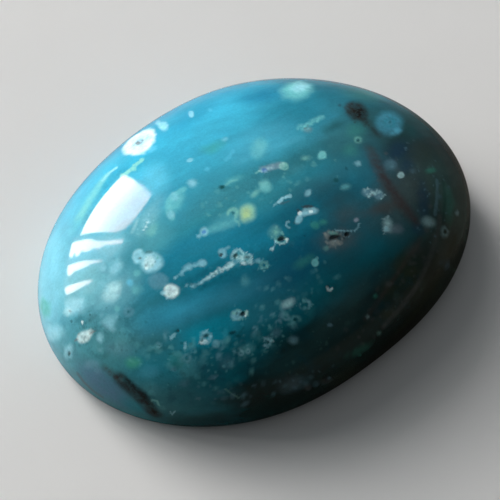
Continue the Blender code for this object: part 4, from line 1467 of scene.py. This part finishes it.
# Elevations between which a pane fades from its near to its far radiance
PANE_FADES = (20.0, 40.0)
PANES = (
    Pane("window", 18.0, 10.0, WHITE_TINT,
         ((135.5, 12.0), (147.0, 12.6), (159.4, 14.2), (158.2, 31.1), (157.0, 40.4), (153.4, 44.4),
          (144.2, 45.0), (135.1, 41.8))),
    Pane("first slat", 16.0, 11.0, WHITE_TINT,
         ((162.3, 8.0), (168.2, 9.0), (169.8, 12.5), (167.6, 14.5), (169.9, 17.0), (169.2, 20.0),
          (167.2, 21.5), (168.6, 25.0), (166.4, 31.0), (167.2, 34.0), (164.6, 38.4), (162.0, 47.6),
          (159.8, 46.6), (161.9, 39.5), (162.8, 32.9), (161.8, 24.0))),
    Pane("second slat", 16.0, 11.0, WHITE_TINT,
         ((173.2, 9.6), (178.4, 10.6), (179.0, 14.0), (177.4, 17.0), (177.6, 22.0), (176.3, 29.0),
          (174.0, 41.0), (173.0, 28.0))),
    Pane("third slat", 15.0, 11.0, WHITE_TINT,
         ((184.0, 6.0), (188.2, 7.6), (188.6, 18.6), (187.2, 31.3), (185.0, 34.0), (184.2, 14.0))),
    Pane("fourth slat", 3.0, 3.0, SKY_TINT, ((190.0, 2.0), (198.0, 1.0), (199.5, 18.0), (194.8, 26.4))),
    Pane("haze behind the slats", 1.5, 0.8, SKY_TINT,
         ((160.0, 8.0), (192.0, 3.0), (193.0, 34.0), (176.0, 44.0), (160.0, 48.0)), 0.70),
)
# A large soft lamp on the window's side, too even to be mirrored
LAMP_BEARING, LAMP_ELEVATION = 152, 38
LAMP_DISTANCE, LAMP_SIZE = 0.8, 0.55
LAMP_RADIANCE = 3.1
LAMP_TINT = (0.97, 0.99, 1.0)
# The room's light away from the window and beside it, and the share of it that the polish mirrors, as most of
# the room is dark furniture
ROOM_TINT = (0.88, 0.95, 1.0, 1.0)
ROOM_LIGHT = (0.07, 0.32)
MIRRORED_ROOM = 0.40
BACKDROP_TINT = (0.80, 0.81, 0.82, 1.0)
FLOOR_RADIUS, FLOOR_SIDES = 1.2, 96
FLOOR_TINTS = ((0.60, 0.59, 0.57, 1.0), (0.66, 0.65, 0.63, 1.0))
FLOOR_ROUGHNESS = 0.75
# The floor is mirrored darker than it is: least so beside the stone, and near black on the shadow's side
MIRRORED_FLOOR = (0.36, 0.40, 0.42, 1.0)
MIRRORED_FAR = (0.08, 0.09, 0.10, 1.0)
MIRRORED_SHADOW = (0.07, 0.06, 0.045, 1.0)
MIRRORED_REACH = (11 * MM, 40 * MM)
SHADOW_EDGE = (-3 * MM, 6 * MM)
NEAREST_SEEN, FARTHEST_SEEN = 1 * MM, 20.0


def bearing_direction(bearing, elevation):
    """A direction in the stone's frame from a bearing and an elevation in degrees."""
    turn = math.radians(bearing) + CAMERA_AZIMUTH
    rise = math.radians(elevation)
    return Vector((math.cos(turn) * math.cos(rise), math.sin(turn) * math.cos(rise), math.sin(rise)))


def make_pane(pane):
    """One bright part of the window, as the stone's polish mirrors it."""
    data = bpy.data.meshes.new(pane.name)
    corners = [tuple(bearing_direction(*corner) * pane.away) for corner in pane.corners]
    data.from_pydata(corners, [], [list(range(len(corners)))])
    material, wire, glow = new_material(pane.name, "ShaderNodeEmission")
    parts = wire.node("ShaderNodeSeparateXYZ")
    wire.feed(parts.inputs[0], wire.object_place())
    low, high = (pane.away * math.sin(math.radians(rise)) for rise in PANE_FADES)
    radiance = wire.span(parts.outputs["Z"], low, high, to=(pane.radiance, pane.far_radiance))
    far = wire.times(wire.span(parts.outputs["Z"], low, high), wire.mirrored())
    wire.feed(glow.inputs["Strength"], radiance)
    wire.feed(glow.inputs["Color"], wire.mix(far, (*pane.tint, 1.0), (*FAR_TINT, 1.0)))
    data.materials.append(material)
    thing = new_thing(pane.name.replace(" ", "_"), data)
    thing.visible_camera = False
    thing.visible_shadow = False


def make_lamp():
    """The large soft lamp."""
    lamp = bpy.data.lights.new("soft lamp", "AREA")
    lamp.shape = "DISK"
    lamp.size = LAMP_SIZE
    lamp.energy = LAMP_RADIANCE * math.pi * math.pi * (LAMP_SIZE / 2) ** 2
    lamp.color = LAMP_TINT
    thing = new_thing("soft lamp", lamp)
    direction = bearing_direction(LAMP_BEARING, LAMP_ELEVATION)
    thing.location = direction * LAMP_DISTANCE
    thing.rotation_euler = direction.to_track_quat("Z", "Y").to_euler()
    thing.visible_glossy = False


def make_world():
    """A pale room, brighter on the window's side; behind the stone the camera sees it evenly pale."""
    world = bpy.data.worlds.new("pale room")
    world.use_nodes = True
    wire = Wiring(world.node_tree)
    lit, seen = wire.node("ShaderNodeBackground"), wire.node("ShaderNodeBackground")
    looking = wire.node("ShaderNodeTexCoord").outputs["Generated"]
    window_side = wire.vector("DOT_PRODUCT", looking, tuple(bearing_direction(LAMP_BEARING, LAMP_ELEVATION)))
    glow = wire.span(window_side, -0.2, 1.0, to=ROOM_LIGHT)
    mirrored_share = wire.span(wire.mirrored(), 0.0, 1.0, to=(1.0, MIRRORED_ROOM))
    lit.inputs["Color"].default_value = ROOM_TINT
    wire.feed(lit.inputs["Strength"], wire.times(glow, mirrored_share))
    seen.inputs["Color"].default_value = BACKDROP_TINT
    blend = wire.node("ShaderNodeMixShader")
    wire.feed(blend.inputs[0], wire.node("ShaderNodeLightPath").outputs["Is Camera Ray"])
    wire.feed(blend.inputs[1], lit.outputs[0])
    wire.feed(blend.inputs[2], seen.outputs[0])
    wire.feed(wire.node("ShaderNodeOutputWorld").inputs["Surface"], blend.outputs[0])
    bpy.context.scene.world = world


def make_floor():
    """A plain pale floor."""
    mesh = bmesh.new()
    bmesh.ops.create_circle(mesh, cap_ends=True, radius=FLOOR_RADIUS, segments=FLOOR_SIDES)
    data = bpy.data.meshes.new("floor")
    mesh.to_mesh(data)
    mesh.free()
    floor = new_thing("floor", data)
    material, wire, shader = new_material("pale floor")
    place = wire.object_place()
    pale = wire.mix(wire.noise(place, scale=60.0, detail=3.0)["Fac"], *FLOOR_TINTS)
    toward_window = wire.vector("DOT_PRODUCT", place, tuple(bearing_direction(LAMP_BEARING, 0)))
    lit = wire.mix(wire.span(wire.vector("LENGTH", place), *MIRRORED_REACH), MIRRORED_FLOOR, MIRRORED_FAR)
    as_mirrored = wire.mix(wire.span(toward_window, *SHADOW_EDGE), MIRRORED_SHADOW, lit)
    wire.feed(shader.inputs["Base Color"], wire.mix(wire.mirrored(), pale, as_mirrored))
    shader.inputs["Roughness"].default_value = FLOOR_ROUGHNESS
    data.materials.append(material)


def make_camera(sight):
    """The camera, where the photograph was taken from."""
    data = bpy.data.cameras.new("camera")
    data.lens = CAMERA_LENS
    data.sensor_width = CAMERA_SENSOR
    data.clip_start = NEAREST_SEEN
    data.clip_end = FARTHEST_SEEN
    camera = new_thing("camera", data)
    turned = Matrix((sight.right, sight.top, -sight.forward)).transposed().to_4x4()
    camera.matrix_world = Matrix.Translation(Vector(sight.eye)) @ turned
    bpy.context.scene.camera = camera


def build():
    """Makes the camera, the studio and the stone."""
    sight = Sight()
    make_camera(sight)
    make_floor()
    make_world()
    for pane in PANES:
        make_pane(pane)
    make_lamp()
    bpy.context.scene.view_settings.view_transform = "Standard"
    low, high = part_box(NODE)
    dome = Dome(low, high)
    stone = make_stone(dome, sight)
    stone.data.materials.append(stone_material(dome))
    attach(stone, BODY)
    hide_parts(NODE)


build()
